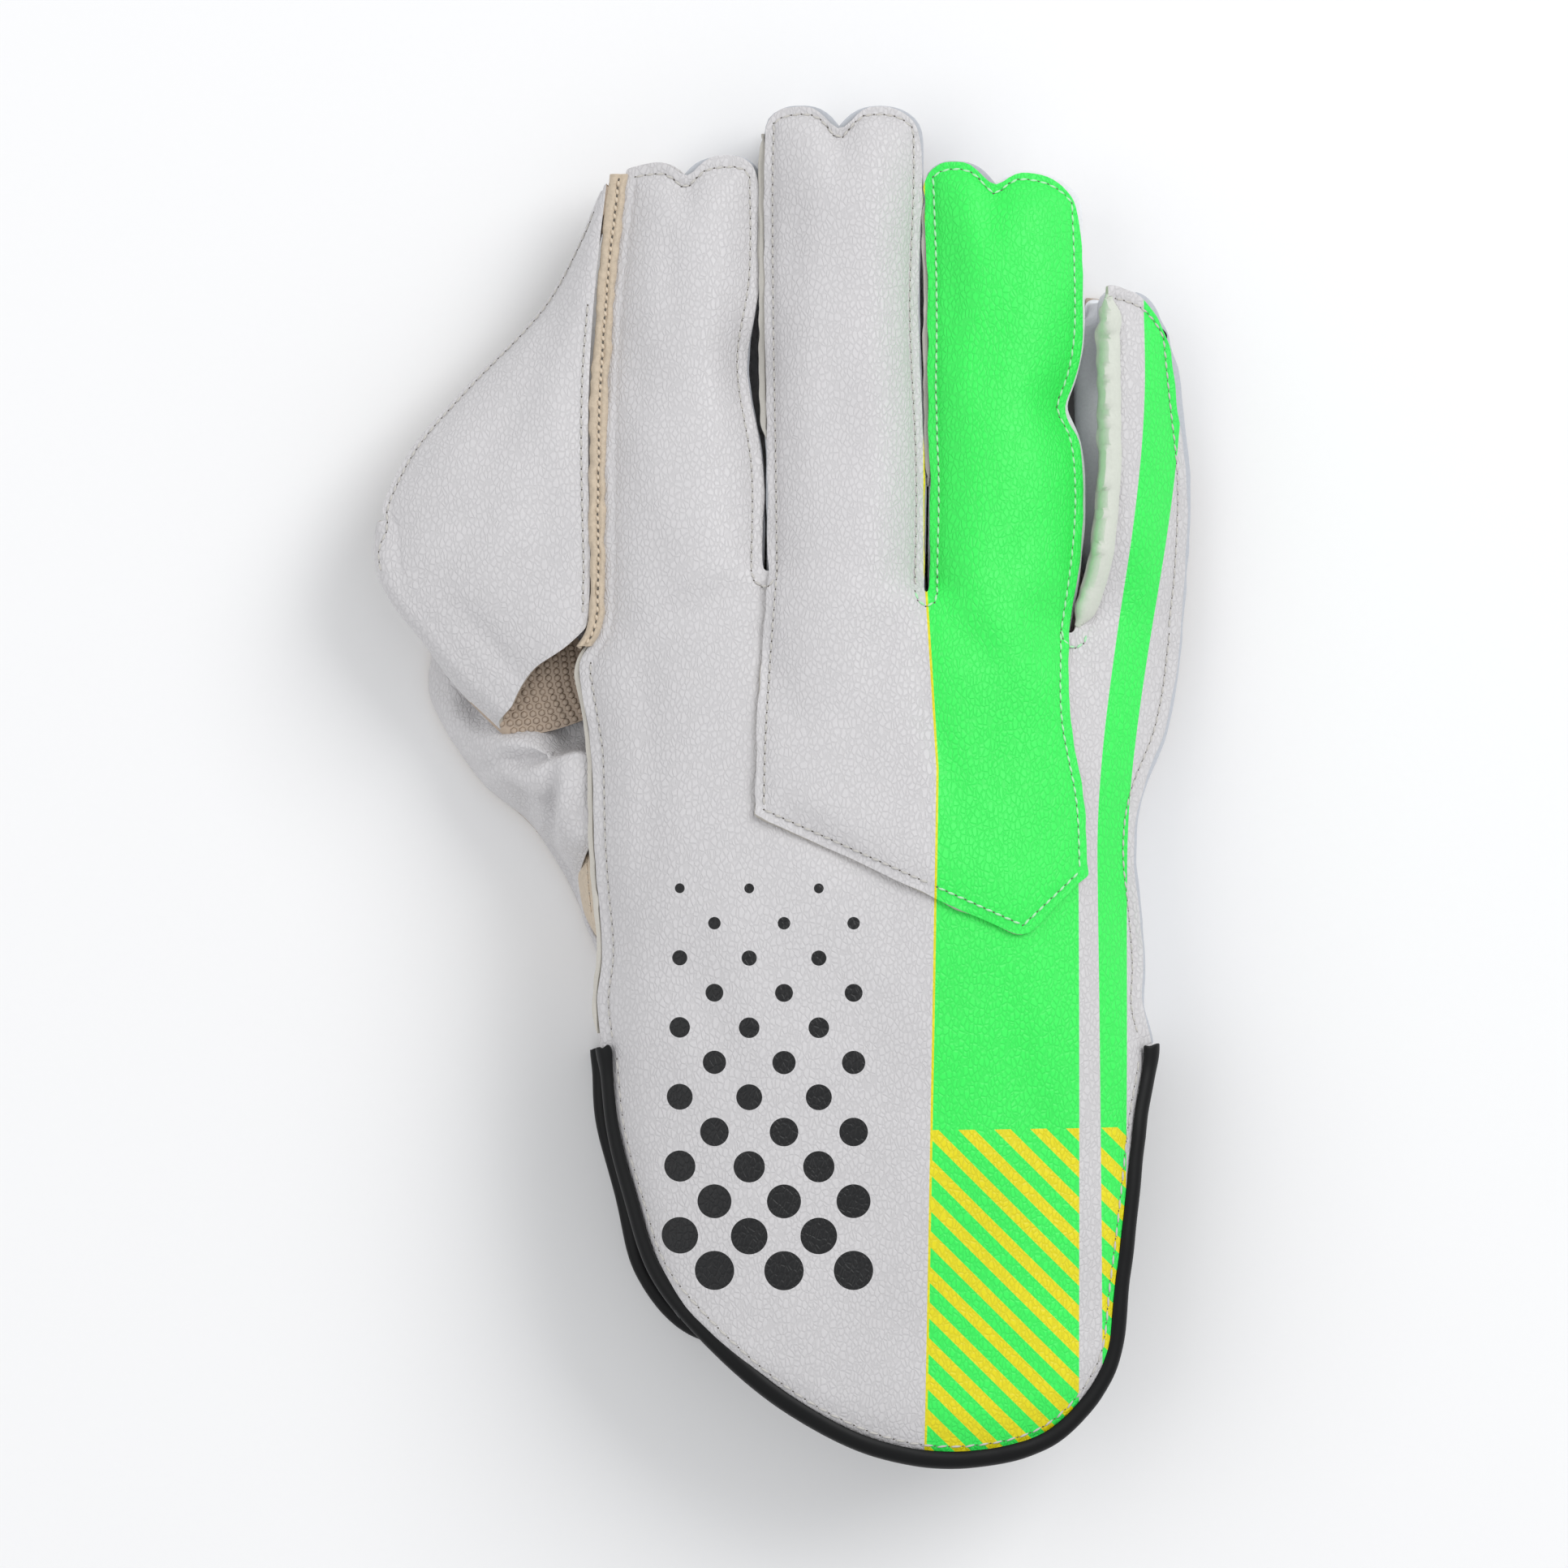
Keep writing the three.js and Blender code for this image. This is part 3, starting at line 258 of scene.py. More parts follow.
FINGERTIPS = dict(zip(FINGER_SIZES, table(
    TIP_COLUMNS,
    (0.02, 0.22, 0.22, 0.45, 0.13, -0.09),
    (0.13, 0.27, 0.24, 0.47, 0.18, 0),
    (0.2, 0.3, 0.27, 0.445, 0.15, 0.17),
    (0.08, 0.33, 0.52, 0.3, 0, 0.34),
)))
NOTCH_SPREAD = 0.09
TIP_BLENDS = {"index": 4, "middle": 4, "ring": 4, "little": 2.4}
HAND_EDGES = table(
    EDGE_COLUMNS,
    (0, 0, 0), (0.125, -0.008, -0.011), (0.19, -0.041, -0.02), (0.25, -0.037, -0.032), (0.37, -0.021, -0.068),
    (0.45, -0.018, -0.082), (0.55, -0.016, -0.085), (0.65, -0.011, -0.077), (0.8, -0.001, -0.069),
    (0.9, -0.01, -0.072), (1, 0, -0.054),
)
CUFF_EDGE = (
    (0, 0), (0.016, 0.2), (0.052, 0.384), (0.091, 0.538), (0.173, 0.677), (0.333, 0.863), (0.505, 0.976),
    (0.664, 1), (0.818, 0.946), (0.921, 0.785), (0.949, 0.552), (0.981, 0.179), (1, 0),
)
PALM_CUFF_EDGE = (
    (-0.016, 0), (-0.011, 0.25), (0.025, 0.51), (0.064, 0.785), (0.157, 0.98), (0.34, 1.03), (0.62, 1.01),
    (0.8, 0.95), (0.89, 0.77), (0.93, 0.5), (0.96, 0.2), (0.965, 0),
)
BACK_HEIGHTS = table(
    ("at", "left", "spine", "right"),
    (0, 0.36, 0.38, 0.24), (0.13, 0.46, 0.48, 0.25), (0.25, 0.58, 0.6, 0.26), (0.35, 0.67, 0.73, 0.27),
    (0.46, 0.73, 0.88, 0.29), (0.58, 0.76, 0.98, 0.34), (0.69, 0.76, 1, 0.44), (0.82, 0.7, 0.96, 0.52),
    (1, 0.62, 0.87, 0.56),
)
SPINE_SHARE = 0.28
SPINE_POWERS = {"left": 2.3, "right": 2.7}
WEB_SECTIONS = table(
    ("at", "root_down", "rim_down", "rim_out", "rim_height", "back_down", "back_out"),
    (0, 0.03, 0.05, 0.02, 0.36, 0.3, 0),
    (0.12, 0.13, 0.164, 0.126, 0.3, 0.4, 0.1),
    (0.26, 0.25, 0.303, 0.29, 0.28, 0.5, 0.2),
    (0.42, 0.42, 0.47, 0.612, 0.32, 0.52, 0.5),
    (0.56, 0.56, 0.608, 0.846, 0.4, 0.63, 0.7),
    (0.68, 0.68, 0.75, 0.975, 0.5, 0.77, 0.76),
    (0.76, 0.76, 0.84, 1, 0.55, 0.88, 0.68),
    (0.83, 0.83, 0.925, 0.937, 0.58, 0.98, 0.2),
    (0.9, 0.9, 1.02, 0.78, 0.6, 1.06, 0.06),
    (0.95, 0.95, 1.1, 0.65, 0.6, 1.12, 0.05),
    (1, 0.99, 1.19, 0.455, 0.6, 1.18, 0.05),
)
FOLD_START = 0.78
FOLD_BLEND = 0.12
WEB_CROWN = 3.0
RETURN_RISE = 1.0
WEB_FALL = 1.8
WEB_LIP = 1.0
OPEN_END_CUT = 3.6
OPEN_END_SAG = 7.3
ROOT_CLOSING = 1.3
RIM_SEAM_END = 0.8
SEAM_TOP = 0.01
SEAM_END = 1.03
THUMB_SECTIONS = table(
    ("at", "top_up", "top_out", "height", "ground_up", "ground_out"),
    (0, 0.01, 0.03, 0.18, -0.02, 0.045),
    (0.12, 0.096, 0.115, 0.34, 0.14, 0.18),
    (0.24, 0.197, 0.135, 0.58, 0.244, 0.31),
    (0.36, 0.3, 0.045, 0.84, 0.33, 0.45),
    (0.46, 0.41, 0, 0.99, 0.42, 0.69),
    (0.57, 0.5, 0, 0.86, 0.54, 0.88),
    (0.65, 0.565, 0.02, 0.52, 0.65, 1),
    (0.73, 0.63, 0.1, 0.46, 0.76, 0.98),
    (0.82, 0.69, 0.1, 0.42, 0.87, 0.92),
    (0.91, 0.74, 0.1, 0.38, 0.97, 0.67),
    (1, 0.787, 0.1, 0.34, 1.01, 0.27),
)
THUMB_ROUND = 2.3
HEM = {"left": (0.51, 0.263), "point": (0.768, 0.725), "right": (0.636, 0.838)}
OVERLAY_SHARE = 0.64
SLIT_TURN = 1.24
OVERLAY_EDGES = table(EDGE_COLUMNS, (0, 0, 0), (0.35, -0.003, -0.011), (0.7, -0.004, 0.004), (1, 0, 0))

# Profile of a gusset from its palm flange up its wall to its back flange: outward reach, share of the
# wall's height, and millimetres above or below that share
GUSSET_PROFILE = (
    (1.2, 0, 0.05), (0.45, 0, 0.1), (0.05, 0, 0.7), (0, 0.12, 0.3), (0, 0.3, 0), (0, 0.5, 0), (0, 0.7, 0),
    (0, 0.88, -0.3), (0.05, 1, -1.0), (0.5, 1, -0.3), (1.5, 1, -0.08), (2.4, 1, -0.05), (3.0, 1, -0.05),
)
# Profile of the raw seam from the finger's side to the web's: out from the hand's edge and up
SEAM_PROFILE = (
    (-0.3, -2.2), (-0.4, -0.3), (-0.1, 0.5), (0.6, 0.9), (1.3, 0.6), (1.75, 0.15), (2.2, 0.6), (3.0, 0.8),
    (3.9, 0.4), (4.4, -0.5), (4.3, -2.2),
)
# Dents and soft folds of the back, the web and the thumb's hood: place, half sizes and depth in
# millimetres, and turn in degrees
FOLD_COLUMNS = ("x", "y", "across", "along", "turn", "depth")
FOLDS = table(
    FOLD_COLUMNS,
    (-36.8, 106, 6, 12, 8, 2.0), (-9, 107, 6, 9, 0, 2.6), (69, 39, 7, 9, 30, 2.8), (72, 97, 7, 10, 0, 1.8),
    (-20, 46, 3.5, 14, -66, 1.8), (-2, 28, 5, 16, 20, 1.5), (10, -14, 4, 16, 55, 1.5),
    (46, 40, 5, 15, 35, 2.0), (24, 34, 6, 13, -20, 1.5), (-34, 60, 4, 16, 12, 1.3), (14, 96, 6, 18, 6, 1.3),
    (52, 110, 5, 16, -8, 1.3), (60, -70, 5, 26, 14, 1.5), (88, -40, 5, 20, 6, 1.6),
    (-18, -60, 7, 24, 20, 1.3), (20, -110, 8, 26, -24, 1.2), (-25, 151, 3.2, 6, 0, 1.8),
    (14.4, 163, 3.2, 7, 0, 2.0), (53, 147, 3.4, 7, 4, 2.4), (60, 58, 4, 10, -30, 1.6),
    (-36, 20, 4, 22, 6, 1.3), (-36, -20, 4, 20, -4, 1.2), (40, 10, 4, 20, 18, 1.2), (56, 4, 5, 16, -14, 1.3),
    (-30, 134, 3, 14, 4, 1.2), (3, 140, 3, 14, -4, 1.2), (44, 128, 3.4, 16, 2, 1.3), (86, 62, 2.6, 18, 4, 1.4),
)
WEB_FOLDS = table(
    FOLD_COLUMNS,
    (-72, 92, 5, 20, -32, 1.3), (-62, 62, 7, 24, -20, 1.5), (-84, 60, 4, 14, -40, 1.0),
    (-60, 118, 4, 14, -26, 1.0), (-76, 36, 3, 14, 40, 0.9), (-58, 84, 4, 16, 8, -0.9),
)
THUMB_FOLDS = table(
    FOLD_COLUMNS,
    (-66.7, 6.9, 1.8, 10, -75, 4.0), (-68.7, -3.5, 2.0, 7, 46, 3.2), (-60.8, -7, 1.8, 9.5, -2, 3.6),
    (-56.4, -7, 2.4, 10, 0, -2.0), (-66, 12, 2.2, 9, -75, -1.8), (-73, 2, 2.6, 9, 46, -1.4),
    (-56, 12, 1.8, 8, -68, 2.2), (-80, 22, 4, 12, 12, 1.4), (-57, -26, 2.0, 9, 20, 2.0),
    (-70, 20, 2.4, 8, 48, 1.4), (-64, -18, 1.8, 8, 34, 1.6),
)


def lerp(a, b, share):
    """The value at a share of the way from one to the other"""
    return a + (b - a) * share


def mixed(a, b, share):
    """The plan point at a share of the way from one to the other"""
    return lerp(a[0], b[0], share), lerp(a[1], b[1], share)


def clamp(value, low=0.0, high=1.0):
    """The value, held between two limits"""
    return max(low, min(high, value))


def smooth(value, low, high):
    """0 up to a low value and 1 from a high one, with a soft rise between"""
    t = clamp((value - low) / (high - low))
    return t * t * (3 - 2 * t)


def read(rows, column, share):
    """One column of a table at a share of its length, on a smooth curve through its rows"""
    last = len(rows) - 1
    s = clamp(share, rows[0]["at"], rows[last]["at"])
    k = 0
    while k < last - 1 and s > rows[k + 1]["at"]:
        k += 1

    def slope(n):
        before = rows[max(n - 1, 0)]
        after = rows[min(n + 1, last)]
        return (after[column] - before[column]) / (after["at"] - before["at"])

    span = rows[k + 1]["at"] - rows[k]["at"]
    t = (s - rows[k]["at"]) / span
    start = (2 * t ** 3 - 3 * t ** 2 + 1) * rows[k][column] + (t ** 3 - 2 * t ** 2 + t) * span * slope(k)
    end = (3 * t ** 2 - 2 * t ** 3) * rows[k + 1][column] + (t ** 3 - t ** 2) * span * slope(k + 1)
    return start + end


class Finger:
    """One finger of the glove and where it starts on the line of crotches"""

    def __init__(self, name, left, left_y, right_y):
        self.name = name
        self.width = FINGER_SIZES[name]["width"]
        self.length = FINGER_SIZES[name]["length"]
        self.tip = FINGERTIPS[name]
        self.left = left
        self.right = left + self.width
        self.left_y = left_y
        self.right_y = right_y

    def edge(self, side, t):
        """X of the finger's left or right edge"""
        return getattr(self, side) + self.width * read(FINGER_EDGES[self.name], side, t)

    def tip_drop(self, u):
        """How far the tip lies below its top, with its rounded corners and its notch"""
        tip = self.tip

        def rounded(v):
            rest = max(1 - v / tip["corner"], 0)
            return rest ** 2 if self.name == "little" else 1 - math.sqrt(1 - rest ** 2)

        notch = tip["notch"] * math.exp(-(((u - tip["notch_at"]) / NOTCH_SPREAD) ** 2))
        corners = tip["left_drop"] * rounded(u) + tip["right_drop"] * rounded(1 - u)
        return self.width * (corners + notch + tip["fall"] * (u - 0.5))

    def plan(self, u, t):
        """u runs from the left edge to the right, t from the root to the tip"""
        x = lerp(self.edge("left", t), self.edge("right", t), u)
        root = lerp(self.left_y, self.right_y, u)
        tip = self.right_y + self.length
        return x, lerp(root, tip, t) - self.tip_drop(u) * max(t, 0) ** TIP_BLENDS[self.name]

    def inset(self, u, t, inset, lean=0.0):
        """The same place in a plan that lies inside the first by an inset"""
        side = inset / self.width
        x, y = self.plan(lerp(side, 1 - side, u), t * (1 - inset / self.length))
        leaning = lean * (1 - u) * smooth(t, 0, 0.35) if self.name == "little" else 0
        return x - leaning, y


MIDDLE_LEFT = SPLIT_X - SLIT / 2 - FINGER_SIZES["middle"]["width"]
RING_LEFT = SPLIT_X + SLIT / 2
CROTCH_RING_Y = KNUCKLE_Y - RING_CROTCH_DROP
CROTCH_LITTLE_Y = KNUCKLE_Y - LITTLE_CROTCH_DROP
INDEX = Finger("index", MIDDLE_LEFT - SLIT - FINGER_SIZES["index"]["width"], KNUCKLE_Y, KNUCKLE_Y)
MIDDLE = Finger("middle", MIDDLE_LEFT, KNUCKLE_Y, CROTCH_RING_Y)
RING = Finger("ring", RING_LEFT, CROTCH_RING_Y, CROTCH_LITTLE_Y)
LITTLE = Finger("little", RING.right + SLIT, CROTCH_LITTLE_Y, CROTCH_LITTLE_Y)
FINGERS = (INDEX, MIDDLE, RING, LITTLE)
OVERLAY_FINGERS = (MIDDLE, RING)
TOP_Y = CROTCH_RING_Y + MIDDLE.length
CUFF_TOP_Y = KNUCKLE_Y - HAND_LENGTH
GLOVE_LENGTH = TOP_Y - CUFF_TOP_Y + CUFF_LENGTH
HAND_LEFT = INDEX.left
SPINE_X = HAND_LEFT + SPINE_SHARE * HAND_WIDTH


def hand_edge(side, share):
    """X of the hand's left or right edge at a share of its length"""
    start = INDEX.edge("left", 0) if side == "left" else LITTLE.edge("right", 0)
    return start + HAND_WIDTH * read(HAND_EDGES, side, share)


def glove_edge(side, y):
    """X of the glove's left or right edge, down the finger and then down the hand"""
    finger = INDEX if side == "left" else LITTLE
    root = finger.right_y
    if y > root:
        return finger.edge(side, (y - root) / finger.length)
    return hand_edge(side, (root - y) / (root - CUFF_TOP_Y))


def crown(x, y):
    """Rounding of each finger's back, fading into the hand"""
    for finger in FINGERS:
        t = (y - finger.right_y) / finger.length
        left = finger.edge("left", t)
        u = (x - left) / (finger.edge("right", t) - left)
        if finger is LITTLE and -RIDGE_EDGE < u < 1 + RIDGE_EDGE:
            return RIDGE * (1 - u) * smooth(t, 0, 0.3) * (1 - 0.4 * smooth(t, 0.7, 1))
        if 0 < u < 1:
            return CROWN * (1 - (2 * u - 1) ** 2) * smooth(t, -0.28, 0.1) * (1 - 0.5 * smooth(t, 0.8, 1))
    return 0.0


def back_height(x, y):
    """Height of the back's outer face over any place in the plan"""
    share = (TOP_Y - y) / GLOVE_LENGTH
    side = "left" if x < SPINE_X else "right"
    reach = SPINE_X - HAND_LEFT if side == "left" else LITTLE.right - SPINE_X
    spine = read(BACK_HEIGHTS, "spine", share)
    fall = (abs(x - SPINE_X) / reach) ** SPINE_POWERS[side]
    return HAND_HEIGHT * (spine + (read(BACK_HEIGHTS, side, share) - spine) * fall) + crown(x, y)


def back_slope(x, y, step=1.0):
    """How steeply the back rises at a place, to the right and up the glove"""
    slope_x = (back_height(x + step, y) - back_height(x - step, y)) / (2 * step)
    slope_y = (back_height(x, y + step) - back_height(x, y - step)) / (2 * step)
    return slope_x, slope_y


def palm_height(y):
    """Height of the palm's arch along the glove"""
    tips = smooth(y, CUFF_TOP_Y + 0.3 * HAND_LENGTH, KNUCKLE_Y)
    away = 1 - smooth(y, KNUCKLE_Y + 0.1 * INDEX.length, KNUCKLE_Y + 0.6 * INDEX.length)
    return PALM_ARCH * tips * away


def patch(top, bottom, left, right):
    """A patch filled between four plan curves, each a function of a share from 0 to 1"""
    corners = [top(0), top(1), bottom(0), bottom(1)]

    def place(u, v):
        rows = [top(u), bottom(u), left(v), right(v)]
        spot = []
        for axis in (0, 1):
            upper = lerp(corners[0][axis], corners[1][axis], u)
            lower = lerp(corners[2][axis], corners[3][axis], u)
            along = lerp(rows[0][axis], rows[1][axis], v) + lerp(rows[2][axis], rows[3][axis], u)
            spot.append(along - lerp(upper, lower, v))
        return tuple(spot)

    return place


def walk(points):
    """A smooth plan curve through points, walked by its length"""
    spots = [Vector(p) for p in points]
    fine = []
    for n in range(len(spots) - 1):
        a, b = spots[n], spots[n + 1]
        before = spots[n - 1] if n > 0 else a * 2 - b
        after = spots[n + 2] if n + 2 < len(spots) else b * 2 - a
        gaps = [max(math.sqrt((q - p).length), 1e-4) for p, q in ((before, a), (a, b), (b, after))]
        pull_a = ((a - before) / gaps[0] - (b - before) / (gaps[0] + gaps[1]) + (b - a) / gaps[1]) * gaps[1]
        pull_b = ((b - a) / gaps[1] - (after - a) / (gaps[1] + gaps[2]) + (after - b) / gaps[2]) * gaps[1]
        for k in range(CURVE_STEPS):
            t = k / CURVE_STEPS
            t2, t3 = t * t, t * t * t
            fine.append(
                a * (2 * t3 - 3 * t2 + 1) + pull_a * (t3 - 2 * t2 + t)
                + b * (3 * t2 - 2 * t3) + pull_b * (t3 - t2))
    fine.append(spots[-1])
    lengths = [0.0]
    for a, b in zip(fine, fine[1:]):
        lengths.append(lengths[-1] + (b - a).length)

    def at(share):
        want = clamp(share) * lengths[-1]
        low, high = 0, len(lengths) - 1
        while high - low > 1:
            half = (low + high) // 2
            low, high = (half, high) if lengths[half] <= want else (low, half)
        step = (want - lengths[low]) / max(lengths[high] - lengths[low], 1e-9)
        return tuple(fine[low].lerp(fine[high], step))

    at.length = lengths[-1]
    return at


def root_line(fingers, inset):
    """The line of finger roots, as a share of its width"""
    ends = [finger.inset(u, 0, inset) for finger in fingers for u in (0, 1)]

    def at(share):
        x = lerp(ends[0][0], ends[-1][0], share)
        n = 1
        while n < len(ends) - 1 and ends[n][0] <= x:
            n += 1
        step = (x - ends[n - 1][0]) / (ends[n][0] - ends[n - 1][0])
        return x, lerp(ends[n - 1][1], ends[n][1], step)

    return at


def root_share(finger, u, fingers, inset):
    """Where a place on a finger's root lies on the line of roots, as a share of its width"""
    first = fingers[0].inset(0, 0, inset)[0]
    last = fingers[-1].inset(1, 0, inset)[0]
    return (finger.inset(u, 0, inset)[0] - first) / (last - first)


CUFF_LEFT = hand_edge("left", 1)
CUFF_WIDTH = hand_edge("right", 1) - CUFF_LEFT
OUTLINE_LEFT_SHARE = 0.38
OUTLINE_RIGHT_SHARE = 0.64


def cuff_points(edge, length, lower=0.0):
    """Plan points of a cuff's edge"""
    return [(CUFF_LEFT + CUFF_WIDTH * across, CUFF_TOP_Y - lower - length * down) for across, down in edge]


def hand_points(side):
    """Plan points of the hand's left or right edge"""
    root = INDEX.left_y if side == "left" else LITTLE.right_y
    return [(hand_edge(side, row["at"]), lerp(root, CUFF_TOP_Y, row["at"])) for row in HAND_EDGES]


OUTLINE = walk(hand_points("left")[:-1] + cuff_points(CUFF_EDGE, CUFF_LENGTH) + hand_points("right")[-2::-1])
HAND_PATCH = patch(
    root_line(FINGERS, 0),
    lambda u: OUTLINE(lerp(OUTLINE_LEFT_SHARE, OUTLINE_RIGHT_SHARE, u)),
    lambda v: OUTLINE(v * OUTLINE_LEFT_SHARE),
    lambda v: OUTLINE(1 - v * (1 - OUTLINE_RIGHT_SHARE)),
)
HEM_SPOTS = {
    name: (HAND_LEFT + HAND_WIDTH * across, KNUCKLE_Y - HAND_LENGTH * down)
    for name, (down, across) in HEM.items()}
HEM_SHARE = root_share(RING, 0.5, OVERLAY_FINGERS, 0)


def hem_line(u):
    """The overlay's pointed hem on the hand"""
    if u < HEM_SHARE:
        names, step = ("left", "point"), u / HEM_SHARE
    else:
        names, step = ("point", "right"), (u - HEM_SHARE) / (1 - HEM_SHARE)
    a, b = (HEM_SPOTS[name] for name in names)
    return mixed(a, b, step)


def overlay_edge(side):
    """The overlay's left or right edge on the hand"""
    share = 0 if side == "left" else 1
    root = root_line(OVERLAY_FINGERS, 0)(share)
    end = hem_line(share)
    return lambda v: (
        lerp(root[0], end[0], v) + HAND_WIDTH * read(OVERLAY_EDGES, side, v), lerp(root[1], end[1], v))


OVERLAY_PATCH = patch(root_line(OVERLAY_FINGERS, 0), hem_line, overlay_edge("left"), overlay_edge("right"))


def edge_point(side, y, inset):
    """A plan point at an inset from the left or right edge of the hand"""
    x = glove_edge(side, y)
    return (x + inset, y) if side == "left" else (x - inset, y)


def palm_side(side):
    """The palm's left or right edge"""
    root = INDEX.left_y if side == "left" else LITTLE.right_y
    return lambda v: edge_point(side, lerp(root, CUFF_TOP_Y, v), PALM_WELT)


def heel(u):
    """The palm's lower edge"""
    return lerp(palm_side("left")(1)[0], palm_side("right")(1)[0], u), CUFF_TOP_Y


PALM_PATCH = patch(root_line(FINGERS, PALM_WELT), heel, palm_side("left"), palm_side("right"))
WEB_TOP_Y = INDEX.left_y + INDEX.length - INDEX.tip_drop(0)
WEB_ROOT_GAP = SEAM_WIDTH + 4 * GAP
THUMB_BASE_SHARE = 0.8
PALM_CUFF_OUTLINE = walk(cuff_points(PALM_CUFF_EDGE, PALM_CUFF_LENGTH, GAP))
PALM_CUFF_SIDE_SHARE = 0.3
PALM_CUFF_PATCH = patch(
    lambda u: (lerp(PALM_CUFF_OUTLINE(0)[0], PALM_CUFF_OUTLINE(1)[0], u), CUFF_TOP_Y - GAP),
    lambda u: PALM_CUFF_OUTLINE(lerp(PALM_CUFF_SIDE_SHARE, 1 - PALM_CUFF_SIDE_SHARE, u)),
    lambda v: PALM_CUFF_OUTLINE(v * PALM_CUFF_SIDE_SHARE),
    lambda v: PALM_CUFF_OUTLINE(1 - v * PALM_CUFF_SIDE_SHARE),
)


def web_y(down):
    """Y at a share of the web's length down from its top"""
    return WEB_TOP_Y - WEB_LENGTH * down


def web_x(out):
    """X at a share of the web's reach out from the hand"""
    return HAND_LEFT - WEB_REACH * out


def web_place(s, across):
    """Outer face of the web: across runs 0 to 1 over the leaf, to 2 round the fold, to 3 along the return"""
    value = {column: read(WEB_SECTIONS, column, s) for column in WEB_SECTIONS[0]}
    root_y = web_y(value["root_down"])
    gap = WEB_ROOT_GAP - ROOT_CLOSING * smooth(s, 0.4, 0.9)
    root = Vector((glove_edge("left", root_y) - gap, root_y))
    rim = Vector((web_x(value["rim_out"]), web_y(value["rim_down"])))
    back = Vector((web_x(value["back_out"]), web_y(value["back_down"])))
    inward = (root - rim).normalized()
    turned = math.pi * smooth(s, FOLD_START - FOLD_BLEND, FOLD_START)
    turn = rim + inward * (FOLD_RADIUS * math.sin(min(turned, math.pi / 2)))
    height = HAND_HEIGHT * value["rim_height"]
    open_end = smooth(s, 0.8, 1)
    if across <= 1:
        start = back_height(glove_edge("left", root_y), root_y)
        arch = WEB_CROWN * min((root - turn).length / WEB_REACH, 1) * 4 * across * (1 - across)
        spot = root.lerp(turn, across)
        cut = OPEN_END_CUT * open_end * math.sin(math.pi * across ** 2.2)
        return Vector((spot.x, spot.y + cut, lerp(start, height, across ** WEB_FALL) + arch))
    if across <= 2:
        angle = turned * (across - 1)
        spot = turn - inward * (FOLD_RADIUS * math.sin(angle))
        sag = OPEN_END_SAG * open_end * smooth(across, 1.42, 2)
        return Vector((spot.x, spot.y - sag, height - FOLD_RADIUS * (1 - math.cos(angle))))
    p = across - 2
    sag = open_end * (OPEN_END_SAG * (1 - p) + WEB_LIP * math.sin(math.pi * p))
    spot = turn.lerp(back, p)
    return Vector((spot.x, spot.y - sag, height - 2 * FOLD_RADIUS + RETURN_RISE * p))


def thumb_y(up):
    """Y at a share of the thumb's length up from its base"""
    return KNUCKLE_Y - THUMB_BASE_SHARE * HAND_LENGTH + THUMB_LENGTH * up


def thumb_x(out):
    """X at a share of the thumb's reach out from the hand"""
    return HAND_LEFT - THUMB_REACH * out


def thumb_place(around, along, facing):
    """Outer face of the thumb hood: around runs from its top line down to the ground"""
    value = {column: read(THUMB_SECTIONS, column, along) for column in THUMB_SECTIONS[0]}
    angle = math.pi / 2 * around
    q = math.sin(angle) ** (2 / THUMB_ROUND)
    rise = max(math.cos(angle), 0) ** (2 / THUMB_ROUND)
    x = lerp(thumb_x(value["top_out"]), thumb_x(value["ground_out"]), q)
    y = lerp(thumb_y(value["top_up"]), thumb_y(value["ground_up"]), q)
    ground = facing + 2 * GAP
    top = THUMB_HEIGHT * value["height"]
    top_y = thumb_y(value["top_up"])
    meeting = smooth(along, 0.22, 0.36) * (1 - smooth(along, 0.72, 0.8)) * smooth(1 - around, 0.5, 1)
    under_web = lerp(*UNDER_WEB, smooth(along, 0.53, 0.6))
    under_seam = back_height(glove_edge("left", top_y), top_y) - UNDER_SEAM
    lift = max(min(under_seam, under_web) - top, 0) * meeting
    return Vector((x, y, ground + (top - ground) * rise + lift))


def even(count):
    """Even shares from 0 to 1"""
    return [n / count for n in range(count + 1)]


def welted(length, cell, first=True, last=True):
    """Shares of a length: even cells between, and close stops for the seam beside a welted end"""
    low = [inset / length for inset in WELT_STOPS] if first else [0]
    high = [1 - inset / length for inset in reversed(WELT_STOPS)] if last else [1]
    count = max(2, round((high[0] - low[-1]) * length / cell))
    return low + [lerp(low[-1], high[0], n / count) for n in range(1, count)] + high


def comb(fingers, cell):
    """Columns across several fingers: each finger's own shares, one after the other"""
    return [(finger, u) for finger in fingers for u in welted(finger.width, cell)]


def grid_mesh(columns, rows, place, keep=None):
    """A sheet of quads whose corners stand where place puts each column and row"""
    bm = bmesh.new()
    bmesh.ops.create_grid(bm, x_segments=columns, y_segments=rows, size=0.5)
    spot = bm.verts.layers.int.new("spot")
    for v in bm.verts:
        v[spot] = round((v.co.y + 0.5) * rows) * (columns + 1) + round((v.co.x + 0.5) * columns)
    if keep:
        lost = []
        for f in bm.faces:
            corner = min(v[spot] for v in f.verts)
            if not keep(corner % (columns + 1), corner // (columns + 1)):
                lost.append(f)
        bmesh.ops.delete(bm, geom=lost, context="FACES")
    for v in bm.verts:
        v.co = place(v[spot] % (columns + 1), v[spot] // (columns + 1)) * MM
    bm.verts.layers.int.remove(spot)
    bmesh.ops.reverse_faces(bm, faces=bm.faces)
    return bm


def new_mesh(bm, name):
    """A mesh made from a bmesh, which is freed"""
    mesh = bpy.data.meshes.new(name)
    bm.to_mesh(mesh)
    bm.free()
    return mesh


def new_object(name, data, place=(0, 0, 0)):
    """A new object in the scene"""
    made = bpy.data.objects.new(name, data)
    made.location = place
    bpy.context.scene.collection.objects.link(made)
    return made


